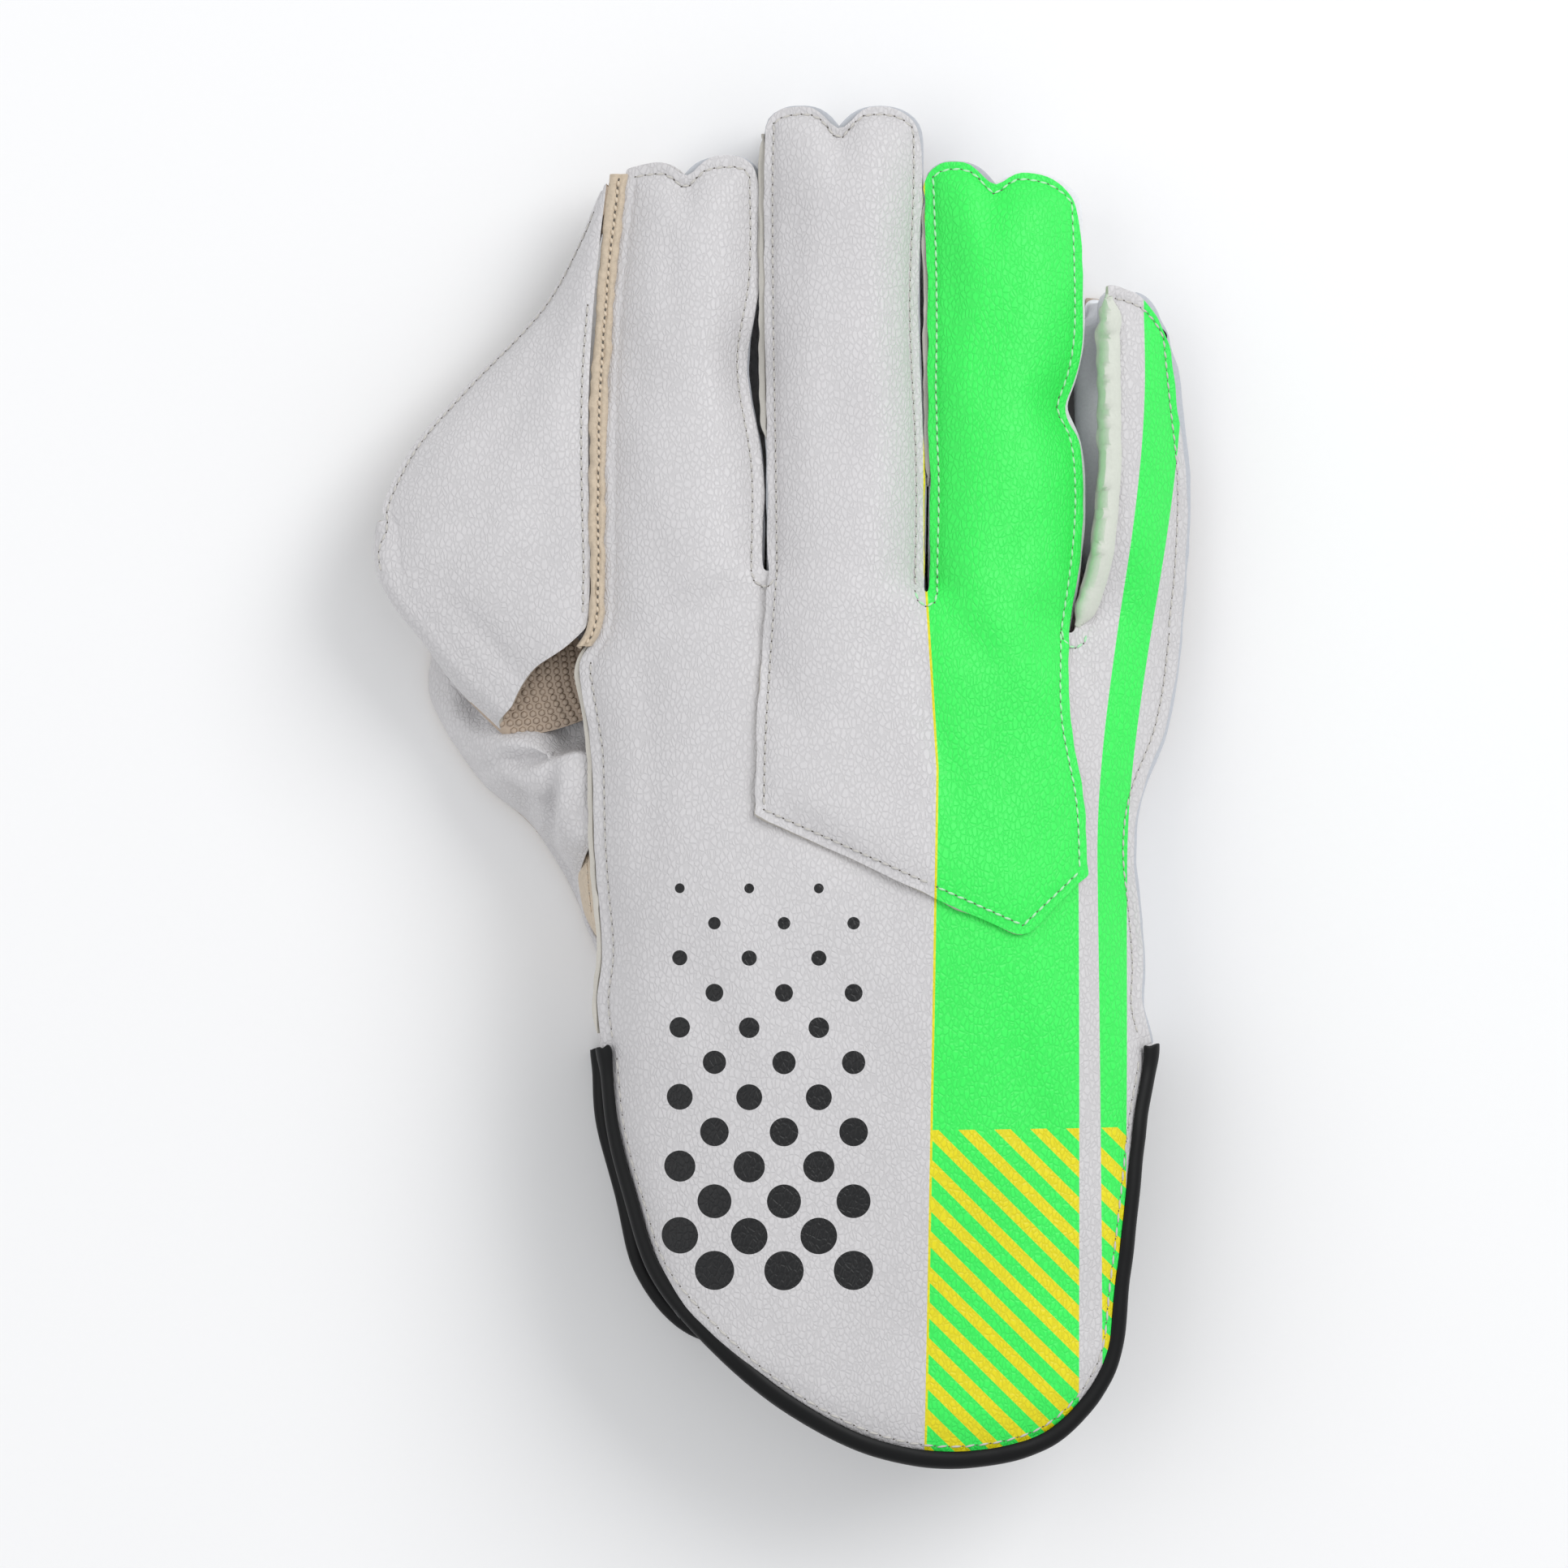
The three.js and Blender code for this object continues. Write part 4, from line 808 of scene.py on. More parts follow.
def finish_piece(bm, name, node, thickness=0.0, bevel=0.0):
    """A finished object from a bmesh, riding on the glove and standing for its solid"""
    for f in bm.faces:
        f.smooth = True
    piece = new_object(name, new_mesh(bm, name))
    if thickness:
        fine = piece.modifiers.new("Smooth", "SUBSURF")
        fine.levels = 1
        fine.render_levels = 1
        wall = piece.modifiers.new("Thickness", "SOLIDIFY")
        wall.thickness = thickness
        wall.offset = -1
        edge = piece.modifiers.new("Cut edge", "BEVEL")
        edge.width = bevel
        edge.segments = 2
        edge.limit_method = "ANGLE"
        edge.angle_limit = math.radians(CUT_ANGLE)
    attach(piece, BODY)
    if node:
        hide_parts(node)
    return piece


def fold_depth(folds, x, y):
    """How far the leather sinks at a place, from a table of dents and folds"""
    total = 0.0
    for fold in folds:
        turn = math.radians(fold["turn"])
        dx, dy = x - fold["x"], y - fold["y"]
        across = dx * math.cos(turn) + dy * math.sin(turn)
        along = dy * math.cos(turn) - dx * math.sin(turn)
        reach = (across / fold["across"]) ** 2 + (along / fold["along"]) ** 2
        if reach < 9:
            total += fold["depth"] * math.exp(-reach)
    return total


def ripple(x, y, wide, long, seed):
    """Smooth noise from -1 to 1 with bumps about as wide and long as given"""
    return noise.noise(Vector((x / wide, y / long, seed)))


def waves(rows, x, y):
    """Several ripples together, from a table of soft waves"""
    return sum(depth * ripple(x, y, wide, long, seed) for depth, wide, long, seed in rows)


def puff(distance, seam):
    """Leather rises inside its seam and sinks along the stitches"""
    groove = GROOVE_DEPTH * math.exp(-(((distance - seam) / GROOVE_WIDTH) ** 2))
    return PUFF * smooth(distance, seam - 0.5, seam + PUFF_REACH) - groove


def back_spot(x, y, distance, lift=0.0, seam=BACK_SEAM):
    """Outer face of the sewn back at a plan point, its distance from the panel's edge being known"""
    loose = 1 - smooth(distance, 0, seam)
    x += 0.5 * loose * ripple(x, y, 4, 4, 1.7)
    y += 0.5 * loose * ripple(x, y, 4, 4, 5.3)
    z = back_height(x, y) + lift + puff(distance, seam) - fold_depth(FOLDS, x, y)
    z += waves(BACK_WAVES, x, y) + 0.6 * loose * ripple(x, y, 5, 5, 2.6)
    return Vector((x, y, z))


def overlay_spot(x, y, distance, down):
    """Outer face of the overlay, which lies on the hand's leather from the slits between the fingers down"""
    on_hand = smooth(down, -4, 4)
    lift = lerp(1.7, LAP_GAP + 1.6, smooth(distance, 0, 5)) + (PUFF - 0.7 * puff(distance, OVERLAY_SEAM)) * on_hand
    return back_spot(x, y, distance, lift, OVERLAY_SEAM)


def finger_sheet(fingers, cell, hand_rows, on_finger, on_hand, covered=()):
    """A sheet over fingers and the hand below them, open in the slits and under fingers that another covers"""
    columns = comb(fingers, cell)
    finger_rows = welted(fingers[0].length, cell, last=False)
    root = len(finger_rows) - 1

    def place(i, j):
        finger, u = columns[i]
        if j < root:
            return on_finger(finger, u, 1 - finger_rows[j])
        return on_hand(finger, u, hand_rows[j - root])

    def keep(i, j):
        (before, from_u), (after, to_u) = columns[i], columns[i + 1]
        if j < root:
            return before is after and before not in covered
        inside = before is not after or (from_u > COVER_SHARE and to_u < 1 - COVER_SHARE)
        return j >= root + COVER_ROWS or not (before in covered and after in covered and inside)

    return grid_mesh(len(columns) - 1, root + len(hand_rows) - 1, place, keep)


def sewn_panel(fingers, cell, plan, width, length, spot, covered=()):
    """A panel of the back: spot places a plan point by its distances from the edge and from the roots"""
    def on_finger(finger, u, t):
        distance = min(u * finger.width, (1 - u) * finger.width, (1 - t) * finger.length)
        return spot(*finger.plan(u, t), distance, -t * finger.length)

    def on_hand(finger, u, v):
        share = root_share(finger, u, fingers, 0)
        distance = min(share * width, (1 - share) * width, (1 - v) * length)
        return spot(*plan(share, v), distance, v * length)

    return finger_sheet(fingers, cell, welted(length, cell, first=False), on_finger, on_hand, covered)


def back_panel(sizes):
    """White leather back of the hand, the index finger, the little finger and the cuff flap"""
    bm = sewn_panel(
        FINGERS, BACK_CELL, HAND_PATCH, HAND_WIDTH, OUTLINE_LEFT_SHARE * OUTLINE.length,
        lambda x, y, distance, down: back_spot(x, y, distance), OVERLAY_FINGERS)
    return finish_piece(bm, "sewn_back", "back_panel", sizes.leather, 0.0004)


def finger_overlay(sizes):
    """Second panel of the back, on the middle and the ring finger, with its hem on the hand"""
    bm = sewn_panel(
        OVERLAY_FINGERS, OVERLAY_CELL, OVERLAY_PATCH, MIDDLE.width + RING.width, OVERLAY_SHARE * HAND_LENGTH,
        overlay_spot)
    return finish_piece(bm, "finger_overlay_sewn", "finger_overlay", sizes.leather, 0.0004)


def palm_panel(sizes):
    """Rubber facing under the palm and fingers, with room left below it for the pimples"""
    def spot(x, y):
        return Vector((x, y, palm_height(y) + sizes.facing / MM))

    def on_finger(finger, u, t):
        return spot(*finger.inset(u, t, PALM_WELT, LEAN))

    def on_hand(finger, u, v):
        return spot(*PALM_PATCH(root_share(finger, u, FINGERS, PALM_WELT), v))

    bm = finger_sheet(FINGERS, PALM_CELL, even(20), on_finger, on_hand)
    return finish_piece(bm, "rubber_palm", "palm_panel", sizes.facing - sizes.pimple_height, 0.0003)


def run_at(points, n):
    """The way that a line of points runs at one of them"""
    return Vector(points[min(n + 1, len(points) - 1)]) - Vector(points[max(n - 1, 0)])


def outward_at(points, n):
    """The plan direction away from a line of plan points at one of them"""
    run = run_at(points, n)
    return Vector((-run.y, run.x)).normalized()


def turn_between(a, b, depth, steps):
    """Plan points of a turn from one point down and up to the next, its depth as a share of a half circle"""
    radius = (b[0] - a[0]) / 2
    spots = []
    for share in even(steps):
        x = (a[0] + b[0]) / 2 - radius * math.cos(math.pi * share)
        spots.append((x, lerp(a[1], b[1], share) - depth * radius * math.sin(math.pi * share)))
    return spots


def edge_line(side, from_y, to_y, inset, steps=SEAM_STEPS):
    """Plan points down one side of the glove at an inset from its edge"""
    return [edge_point(side, lerp(from_y, to_y, share), inset) for share in even(steps)]


def stop(high, low=None, over=0.0, swell=0.0, flange=1.0):
    """One stop of a gusset: its top and foot in the plan, its share under the overlay, bulge and flange"""
    return {"high": high, "low": low or high, "over": over, "swell": swell, "flange": flange}


def stall(finger, side, welt, steps=34, tips=8):
    """Stops of one side of a finger, from the notch at its tip to its root"""
    outer, way = (0, -1) if side == "left" else (1, 1)
    start = finger.tip["notch_at"] + way * NOTCH_GAP / finger.width
    spots = [(lerp(start, outer, k / tips), 1) for k in range(tips)]
    spots += [(outer, 1 - share) for share in even(steps)]
    swell = GUSSET_SWELL.get((finger.name, side), 0.0)
    return [
        stop(
            finger.inset(u, t, welt), finger.inset(u, t, welt, LEAN),
            smooth(t, 0.02, 0.14) * (finger in OVERLAY_FINGERS),
            swell * smooth(t, 0.03, 0.3) * (1 - smooth(t, 0.9, 1)),
            1 - 0.65 * smooth(u, 0.5, 0.9) * smooth(t, 0.86, 0.97) * (finger is LITTLE))
        for u, t in spots
    ]


def between(before, after, welt):
    """Stops of a gusset between two fingers: down one side, round the crotch and up the other"""
    down = stall(before, "right", welt)
    up = stall(after, "left", welt)[::-1]
    crotch = turn_between(down[-1]["high"], up[0]["high"], 1, 8)[1:-1]
    return down + [stop(spot) for spot in crotch] + up


def hand_side(side, from_y, to_y, steps, inset):
    """Stops of a gusset down one side of the hand"""
    return [stop(spot) for spot in edge_line(side, from_y, to_y, inset, steps)]


def gusset(name, node, slot, stops, sizes, reach=1.0, crease=0.5):
    """A gusset sewn between palm and back along a list of stops, with a flange at each"""
    wall, leather, facing = sizes.gusset / MM, sizes.leather / MM, sizes.facing / MM
    tops = [each["high"] for each in stops]

    def place(i, j):
        here = stops[i]
        out, share, offset = GUSSET_PROFILE[j]
        high, low = Vector(here["high"]), Vector(here["low"])
        foot = low.lerp(high, smooth(share, 0, 1))
        mid = math.sin(math.pi * share)
        wave = crease * ripple(foot.x + foot.y * 0.7, share * 30, 5, 9, 4.4) * mid
        frill = 0.4 * ripple(foot.x, foot.y, 3, 3, 9.1) if j == len(GUSSET_PROFILE) - 1 else 0.0
        spot = foot + outward_at(tops, i) * (out * reach * here["flange"] + here["swell"] * mid + wave + frill)
        depth = lerp(leather, 0, here["over"]) + wall
        top = back_height(spot.x, spot.y) - depth * math.hypot(1, *back_slope(spot.x, spot.y))
        top -= fold_depth(FOLDS, spot.x, spot.y)
        floor = palm_height(low.y) + facing + wall
        return Vector((spot.x, spot.y, lerp(floor, top, share) + offset))

    bm = grid_mesh(len(stops) - 1, len(GUSSET_PROFILE) - 1, place)
    return finish_piece(bm, name, node, sizes.gusset, 0.0002)


def web_normal(s, across):
    """The way that the web's outer face looks"""
    s0, s1 = max(s - PROBE, 0), min(s + PROBE, 1)
    part = math.floor(min(across, 2.999))
    a0, a1 = max(across - PROBE, part), min(across + PROBE, part + 1)
    along = web_place(s1, across) - web_place(s0, across)
    out = web_place(s, a1) - web_place(s, a0)
    return out.cross(along).normalized()


def web_spot(s, across, depth=0.0):
    """A place on the web, sunk below its outer leather by a depth"""
    spot = web_place(s, across)
    leaf = 1 - smooth(across, 0.85, 1.0)
    rim = (1 - clamp(across)) * (web_place(s, 0) - web_place(s, 1)).length
    sewn = (1 - smooth(s, RIM_SEAM_END - 0.03, RIM_SEAM_END + 0.03)) * (across <= 1)
    sink = fold_depth(WEB_FOLDS, spot.x, spot.y) * leaf
    sink += 0.5 * sewn * math.exp(-(((rim - RIM_SEAM) / 0.6) ** 2)) - 0.5 * sewn * smooth(rim, RIM_SEAM, 8) * leaf
    return spot - web_normal(s, across) * (sink - waves(WEB_WAVES, spot.x, spot.y) + depth)


def web_sheet(depth, curl_from):
    """The web's leaf, its fold from a share of the web's length on, and its return"""
    leaf = welted(WEB_REACH, WEB_REACH / LEAF_SHARES, first=False)
    turn = [1 + share for share in even(FOLD_CELLS)[1:]]
    back = [2 + share for share in even(RETURN_CELLS)[1:]]
    columns = leaf + turn + back
    rows = even(WEB_LENGTH_CELLS)
    rim = len(leaf) - (1 if depth == 0 else 3)

    def keep(i, j):
        if j < rim:
            return True
        return rows[i] >= (FOLD_START if j >= len(leaf) - 1 + FOLD_CELLS else curl_from)

    return grid_mesh(
        len(rows) - 1, len(columns) - 1, lambda i, j: web_spot(rows[i], columns[j], depth), keep)


def web_leather(sizes):
    """White leather of the web"""
    bm = web_sheet(0.0, FOLD_START - FOLD_BLEND + 0.015)
    return finish_piece(bm, "web_outer", "web_leather", sizes.leather, 0.0003)


def web_facing(sizes):
    """Rubber facing inside the web"""
    bm = web_sheet(sizes.leather / MM + GAP, FOLD_START)
    return finish_piece(bm, "web_rubber", "web_facing", sizes.facing - sizes.pimple_height, 0.0003)


def seam_share(share):
    """Width of the raw seam along its length, as a share of its full width"""
    return 1 - 0.2 * smooth(share, 0.5, 1) + 0.12 * ripple(share * 9, 0, 1, 1, 5.1)


def raw_seam():
    """Beige strip where web and index finger are joined, two raw edges side by side"""
    def place(i, j):
        share = i / RAW_SEAM_CELLS
        y = web_y(lerp(SEAM_TOP, SEAM_END, share))
        edge = glove_edge("left", y)
        out, up = SEAM_PROFILE[j]
        wave = 0.55 * ripple(y, out * 3, 5, 9, 7.7) + 0.4 * ripple(y, out * 5, 1.8, 9, 3.7)
        x = edge + SEAM_INSET - (out * seam_share(share) + wave)
        return Vector((x, y, back_height(edge, y) + 0.6 + up * 1.3 + 0.5 * ripple(y, out * 4, 3, 4, 1.1)))

    bm = grid_mesh(RAW_SEAM_CELLS, len(SEAM_PROFILE) - 1, place)
    return finish_piece(bm, "raw_seam_strip", "web_seam", STRIP_WALL, 0.0002)


def share_sheet(columns, rows, place):
    """A sheet whose corners stand where place puts their shares of its width and length"""
    return grid_mesh(columns, rows, lambda i, j: place(i / columns, j / rows))


def thumb_spot(around, along, sizes):
    """A place on the wrinkled hood of the thumb"""
    facing = sizes.facing / MM
    spot = thumb_place(around, along, facing)
    a = thumb_place(max(around - PROBE, 0), along, facing) - thumb_place(min(around + PROBE, 1), along, facing)
    b = thumb_place(around, min(along + PROBE, 1), facing) - thumb_place(around, max(along - PROBE, 0), facing)
    fade = smooth(1 - around, 0, 0.12) * smooth(around, 0, 0.1)
    sink = fold_depth(THUMB_FOLDS, spot.x, spot.y) - waves(THUMB_WAVES, spot.x, spot.y)
    return spot - a.cross(b).normalized() * (sink * fade)


def thumb_hood(sizes):
    """White leather hood over the thumb"""
    bm = share_sheet(44, 76, lambda around, along: thumb_spot(around, along, sizes))
    return finish_piece(bm, "thumb_hood", "thumb_back", sizes.leather, 0.0004)


def thumb_facing(sizes):
    """Rubber underside of the thumb, from the hand's edge out to the hood"""
    def place(across, along):
        y = thumb_y(read(THUMB_SECTIONS, "ground_up", along))
        outer = thumb_x(read(THUMB_SECTIONS, "ground_out", along))
        inner = glove_edge("left", y) + PALM_WELT - 3 * GAP
        return Vector((lerp(inner, outer, across), y, sizes.facing / MM))

    wall = sizes.facing - sizes.pimple_height
    return finish_piece(share_sheet(10, 26, place), "rubber_thumb", "thumb_facing", wall, 0.0003)


def palm_cuff_sheet(depth):
    """A sheet over the palm side of the cuff, a depth below its upper face"""
    def place(across, down):
        x, y = PALM_CUFF_PATCH(across, down)
        rise = 0.5 * ripple(x, y, 14, 18, 9.9) * smooth(down, 0, 0.3) * (1 - smooth(down, 0.8, 1))
        return Vector((x, y, PALM_CUFF_LIFT + PALM_CUFF_STACK + rise - depth))

    return share_sheet(40, 26, place)


def palm_cuff(sizes):
    """White leather of the palm side of the cuff"""
    bm = palm_cuff_sheet(PALM_CUFF_STACK - sizes.leather / MM)
    return finish_piece(bm, "cuff_underside", "palm_cuff", sizes.leather, 0.0003)


def palm_cuff_lining():
    """Black lining on the palm side of the cuff"""
    return finish_piece(
        palm_cuff_sheet(0.0), "cuff_lining", "palm_cuff_lining", LINING_WALL, 0.0002)


def edge_layer(name, slot, spots, depth, reach, inner=0.4, rise=0.0):
    """A second layer of leather that stands out from a welt, along plan points of the welt's edge"""
    last = len(spots) - 1
    section = ((-inner, 0.0), (-inner * 0.4, 0.9), (0.0, 1.0), (0.5 * reach, 0.9), (reach, 0.1))

    def place(i, j):
        ends = smooth(i, 0, 4) * smooth(last - i, 0, 4)
        out, up = section[j]
        wave = (0.5 + 0.5 * rise) * ripple(*spots[i], 4, 4, 6.6)
        x, y = Vector(spots[i]) + outward_at(spots, i) * (out * ends + (wave if j > 1 else 0.3 * wave))
        top = back_height(x, y) - fold_depth(FOLDS, x, y) - depth
        return Vector((x, y, top + rise * up * ends + 0.4 * ripple(x, y, 5, 5, 8.6) * (j > 1)))

    bm = grid_mesh(last, len(section) - 1, place)
    return finish_piece(bm, name, None, LAYER_WALL, 0.0003)


def layer_spots(finger, from_t, to_t):
    """Plan points up a finger's left edge"""
    return [finger.plan(0, lerp(from_t, to_t, share)) for share in even(LAYER_STEPS)]


def binding(name, node, path, stack, normal_at):
    """Vinyl rolled over the edge of a cuff flap, with loose open ends"""
    section = (
        (3.3, 0.75), (2.7, 1.3), (1.6, 1.7), (0.3, 1.65), (-0.8, 1.1), (-1.4, 0.1), (-1.5, -stack / 2),
        (-1.35, -stack - 0.4), (-0.8, -stack - 1.1), (0.4, -stack - 1.6), (2.0, -stack - 1.6), (3.3, -stack - 1.2),
    )
    last = len(path) - 1
    middle = Vector((0.9, -stack / 2))

    def place(i, j):
        along = run_at(path, i)
        normal = normal_at(path[i])
        inward = normal.cross(along).normalized()
        end = 1 - min(smooth(i, 0, 5), smooth(last - i, 0, 5))
        swell = 1 + 0.28 * end + 0.07 * ripple(path[i].x + path[i].y, j * 0.8, 9, 3, 2.8)
        ragged = 1.6 * end * ripple(j * 1.7, math.hypot(path[i].x, path[i].y), 1, 20, 5.5)
        spot = middle + (Vector(section[j]) - middle) * swell
        spot = path[i] + inward * spot.x + normal * spot.y + along.normalized() * ragged
        spot.z = max(spot.z, LOWEST)
        return spot

    bm = grid_mesh(last, len(section) - 1, place)
    return finish_piece(bm, name, node, VINYL_WALL, 0.0003)


def back_normal(spot):
    """The way that the back's outer face looks"""
    slope_x, slope_y = back_slope(spot.x, spot.y)
    return Vector((-slope_x, -slope_y, 1)).normalized()


def cuff_rim():
    """Edge of the back's cuff flap, from the thumb side round to the little finger's side"""
    spots = [OUTLINE(lerp(0.22, 0.81, share)) for share in even(190)]
    return [Vector((x, y, back_height(x, y))) for x, y in spots if y < CUFF_TOP_Y + 1]


def palm_cuff_rim():
    """Edge of the palm side of the cuff, from the thumb side round to the little finger's side"""
    spots = [PALM_CUFF_OUTLINE(lerp(0.004, 0.99, share)) for share in even(150)]
    return [Vector((x, y, PALM_CUFF_LIFT + PALM_CUFF_STACK)) for x, y in spots]


def scatter(shape, places):
    """One mesh of many copies of a small shape, doubled until there are enough and then put in place"""
    corner = shape.verts.layers.int.new("corner")
    turn = shape.verts.layers.int.new("copy")
    corners = []
    for v in shape.verts:
        v[corner] = len(corners)
        corners.append(v.co.copy())
    copies = 1
    while copies < len(places):
        made = bmesh.ops.duplicate(shape, geom=shape.verts[:] + shape.edges[:] + shape.faces[:])["geom"]
        for part in made:
            if isinstance(part, bmesh.types.BMVert):
                part[turn] += copies
        copies *= 2
    bmesh.ops.delete(shape, geom=[v for v in shape.verts if v[turn] >= len(places)], context="VERTS")
    for v in shape.verts:
        v.co = places[v[turn]] @ corners[v[corner]] * MM
    return shape


def facing_to(spot, along, normal, scale=(1, 1, 1)):
    """A place for a small shape: its x runs along, its z away from the surface"""
    side = normal.cross(along).normalized()
    ahead = side.cross(normal).normalized()
    turn = Matrix((ahead, side, normal.normalized())).transposed().to_4x4()
    return Matrix.Translation(spot) @ turn @ Matrix.Diagonal((*scale, 1))


def paced(path, pitch):
    """Places a pitch apart along a path of places and normals"""
    spots = [path[0]]
    left = pitch
    for (a, normal_a), (b, normal_b) in zip(path, path[1:]):
        span = (b - a).length
        done = 0.0
        while span - done >= left:
            done += left
            share = done / span
            spots.append((a.lerp(b, share), normal_a.lerp(normal_b, share)))
            left = pitch
        left -= span - done
    return spots


def sewn(paths, pitch, thread, slant=0.12):
    """Places of stitches and of the needle holes between them, along several seams"""
    threads, holes = [], []
    for path in paths:
        spots = paced(path, pitch)
        for (a, normal), (b, _) in zip(spots, spots[1:]):
            middle = (a + b) / 2
            uneven = slant * (1 + ripple(middle.x, middle.y, 2, 2, 6.1))
            along = (b - a) + normal.cross(b - a) * uneven
            lift = normal * (thread * STITCH_LIFT)
            size = (pitch * STITCH_LENGTH, thread * STITCH_WIDTH, thread)
            threads.append(facing_to(middle + lift, along, normal, size))
            size = [thread * share for share in HOLE_SHAPE]
            holes.append(facing_to(a - normal * HOLE_SINK, b - a, normal, size))
    return threads, holes


def small_shapes(name, node, places, shape):
    """Many copies of one small shape as a single piece"""
    bm = bmesh.new()
    if shape == "stitch":
        bmesh.ops.create_uvsphere(bm, u_segments=6, v_segments=4, radius=0.5)
    else:
        bmesh.ops.create_cone(bm, cap_ends=True, segments=6, radius1=0.5, radius2=0.3, depth=1.0)
    return finish_piece(scatter(bm, places), name, node)


def seam_ground(*names):
    """Search trees of finished pieces, for laying thread or pimples on them"""
    graph = bpy.context.evaluated_depsgraph_get()
    return [BVHTree.FromObject(bpy.data.objects[name], graph) for name in names]


def met(ground, x, y, up):
    """Where a ray straight down or up through a plan point first meets the ground, and the normal there"""
    start, way = (BELOW, 1) if up else (ABOVE, -1)
    hits = [tree.ray_cast(Vector((x, y, start)) * MM, Vector((0, 0, way))) for tree in ground]
    found = [(hit[0] / MM, hit[1]) for hit in hits if hit[0] is not None]
    return min(found, key=lambda spot: way * spot[0].z) if found else None


def laid(paths, ground):
    """Seams through plan points, laid from above on finished pieces"""
    return [[spot for spot in (met(ground, x, y, False) for x, y in path) if spot] for path in paths]


def straight(a, b):
    """Plan points of a straight seam"""
    return [mixed(a, b, share) for share in even(HEM_STEPS)]


def finger_seam(finger, inset, left=True, steps=40, tips=16):
    """Plan points of a finger's seam: up its left side if wanted, round its tip and down its right side"""
    up = [finger.inset(0, share, inset) for share in even(steps)[:-1]] if left else []
    tip = [finger.inset(share, 1, inset) for share in even(tips)[:-1]]
    return up + tip + [finger.inset(1, 1 - share, inset) for share in even(steps)]


def turn_seam(a, b):
    """Plan points of the seam's turn round the end of a slit between two fingers"""
    return turn_between(a, b, SLIT_TURN, 10)


def seam_paths(sizes):
    """Seams sewn in white thread, and those on the green half"""
    welt = sizes.welt / MM
    end = CUFF_TOP_Y + 2
    index, little = finger_seam(INDEX, welt, False), finger_seam(LITTLE, welt, False)
    middle, ring = finger_seam(MIDDLE, OVERLAY_SEAM), finger_seam(RING, OVERLAY_SEAM)
    sides = {}
    for side, inward in (("left", OVERLAY_SEAM), ("right", -OVERLAY_SEAM)):
        edge = overlay_edge(side)
        sides[side] = [(edge(share)[0] + inward, edge(share)[1]) for share in even(SEAM_STEPS)[:-1]]
    left, point, right = [
        (HEM_SPOTS[name][0] + dx, HEM_SPOTS[name][1] + dy) for name, (dx, dy) in HEM_SEAM.items()]
    split = mixed(left, point, (SPLIT_X + 2.5 - left[0]) / (point[0] - left[0]))
    white = [
        edge_line("left", LEFT_SEAM_TOP, end, welt), edge_line("right", LITTLE.right_y, end, welt),
        index + turn_seam(index[-1], middle[0]), middle, little, sides["left"], straight(left, split)]
    green = [
        turn_seam(middle[-1], ring[0]) + ring + turn_seam(ring[-1], LITTLE.inset(0, 0, welt)), sides["right"],
        straight(split, point), straight(point, right)]
    return white, green


def web_paths():
    """Seams along the web's rim and beside its raw seam"""
    rim, root = [], []
    for share in even(SEAM_STEPS):
        s = lerp(0.05, RIM_SEAM_END, share)
        inner, outer = web_place(s, 0), web_place(s, 1 if s < FOLD_START - FOLD_BLEND else 1.5)
        rim.append(outer.lerp(inner, RIM_SEAM / (inner - outer).length).xy)
        s = lerp(0.3, 0.97, share)
        inner, outer = web_place(s, 0), web_place(s, 1)
        root.append(inner.lerp(outer, ROOT_SEAM / (inner - outer).length).xy)
    return [rim, root]


def cuff_path():
    """Plan points of the stitches along the inner edge of the binding"""
    rim = cuff_rim()
    path = []
    for n in range(2, len(rim) - 2):
        inward = back_normal(rim[n]).cross(run_at(rim, n)).normalized()
        path.append((rim[n] + inward * CUFF_SEAM).xy)
    return path


def raw_seam_path():
    """Plan points of the thread down the middle of the raw seam"""
    path = []
    for share in even(80):
        y = web_y(lerp(SEAM_TOP, SEAM_END, share))
        path.append((glove_edge("left", y) + SEAM_INSET - SEAM_MIDDLE * seam_share(share), y))
    return path


def pimple(spot, along, out, sizes):
    """The place of one pimple, its foot sunk a little into the rubber"""
    width, height = sizes.pimple_pitch / MM * PIMPLE_WIDTH, sizes.pimple_height / MM
    return facing_to(spot + out * (height * PIMPLE_LIFT), along, out, (width, width, height))


def pimple_places(ground, sizes):
    """Places of pimples in close rows on the flat underside of a rubber sheet"""
    pitch = sizes.pimple_pitch / MM
    reach = pitch * 0.42
    places = []
    for row in range(math.ceil((TOP_Y - CUFF_TOP_Y) / (pitch * ROW_STEP))):
        y = CUFF_TOP_Y + row * pitch * ROW_STEP
        for n in range(math.ceil(2 * PIMPLE_REACH / pitch)):
            x = (n + row % 2 / 2) * pitch - PIMPLE_REACH
            spot = met(ground, x, y, True)
            if not spot or spot[1].z > -0.9:
                continue
            around = [
                met(ground, x + dx * reach, y + dy * reach, True)
                for dx, dy in ((1, 0), (-1, 0), (0, 1), (0, -1))]
            if all(around) and max(abs(other[0].z - spot[0].z) for other in around) < 0.5:
                places.append(pimple(spot[0], Vector((1, 0, 0)), spot[1].normalized(), sizes))
    return places


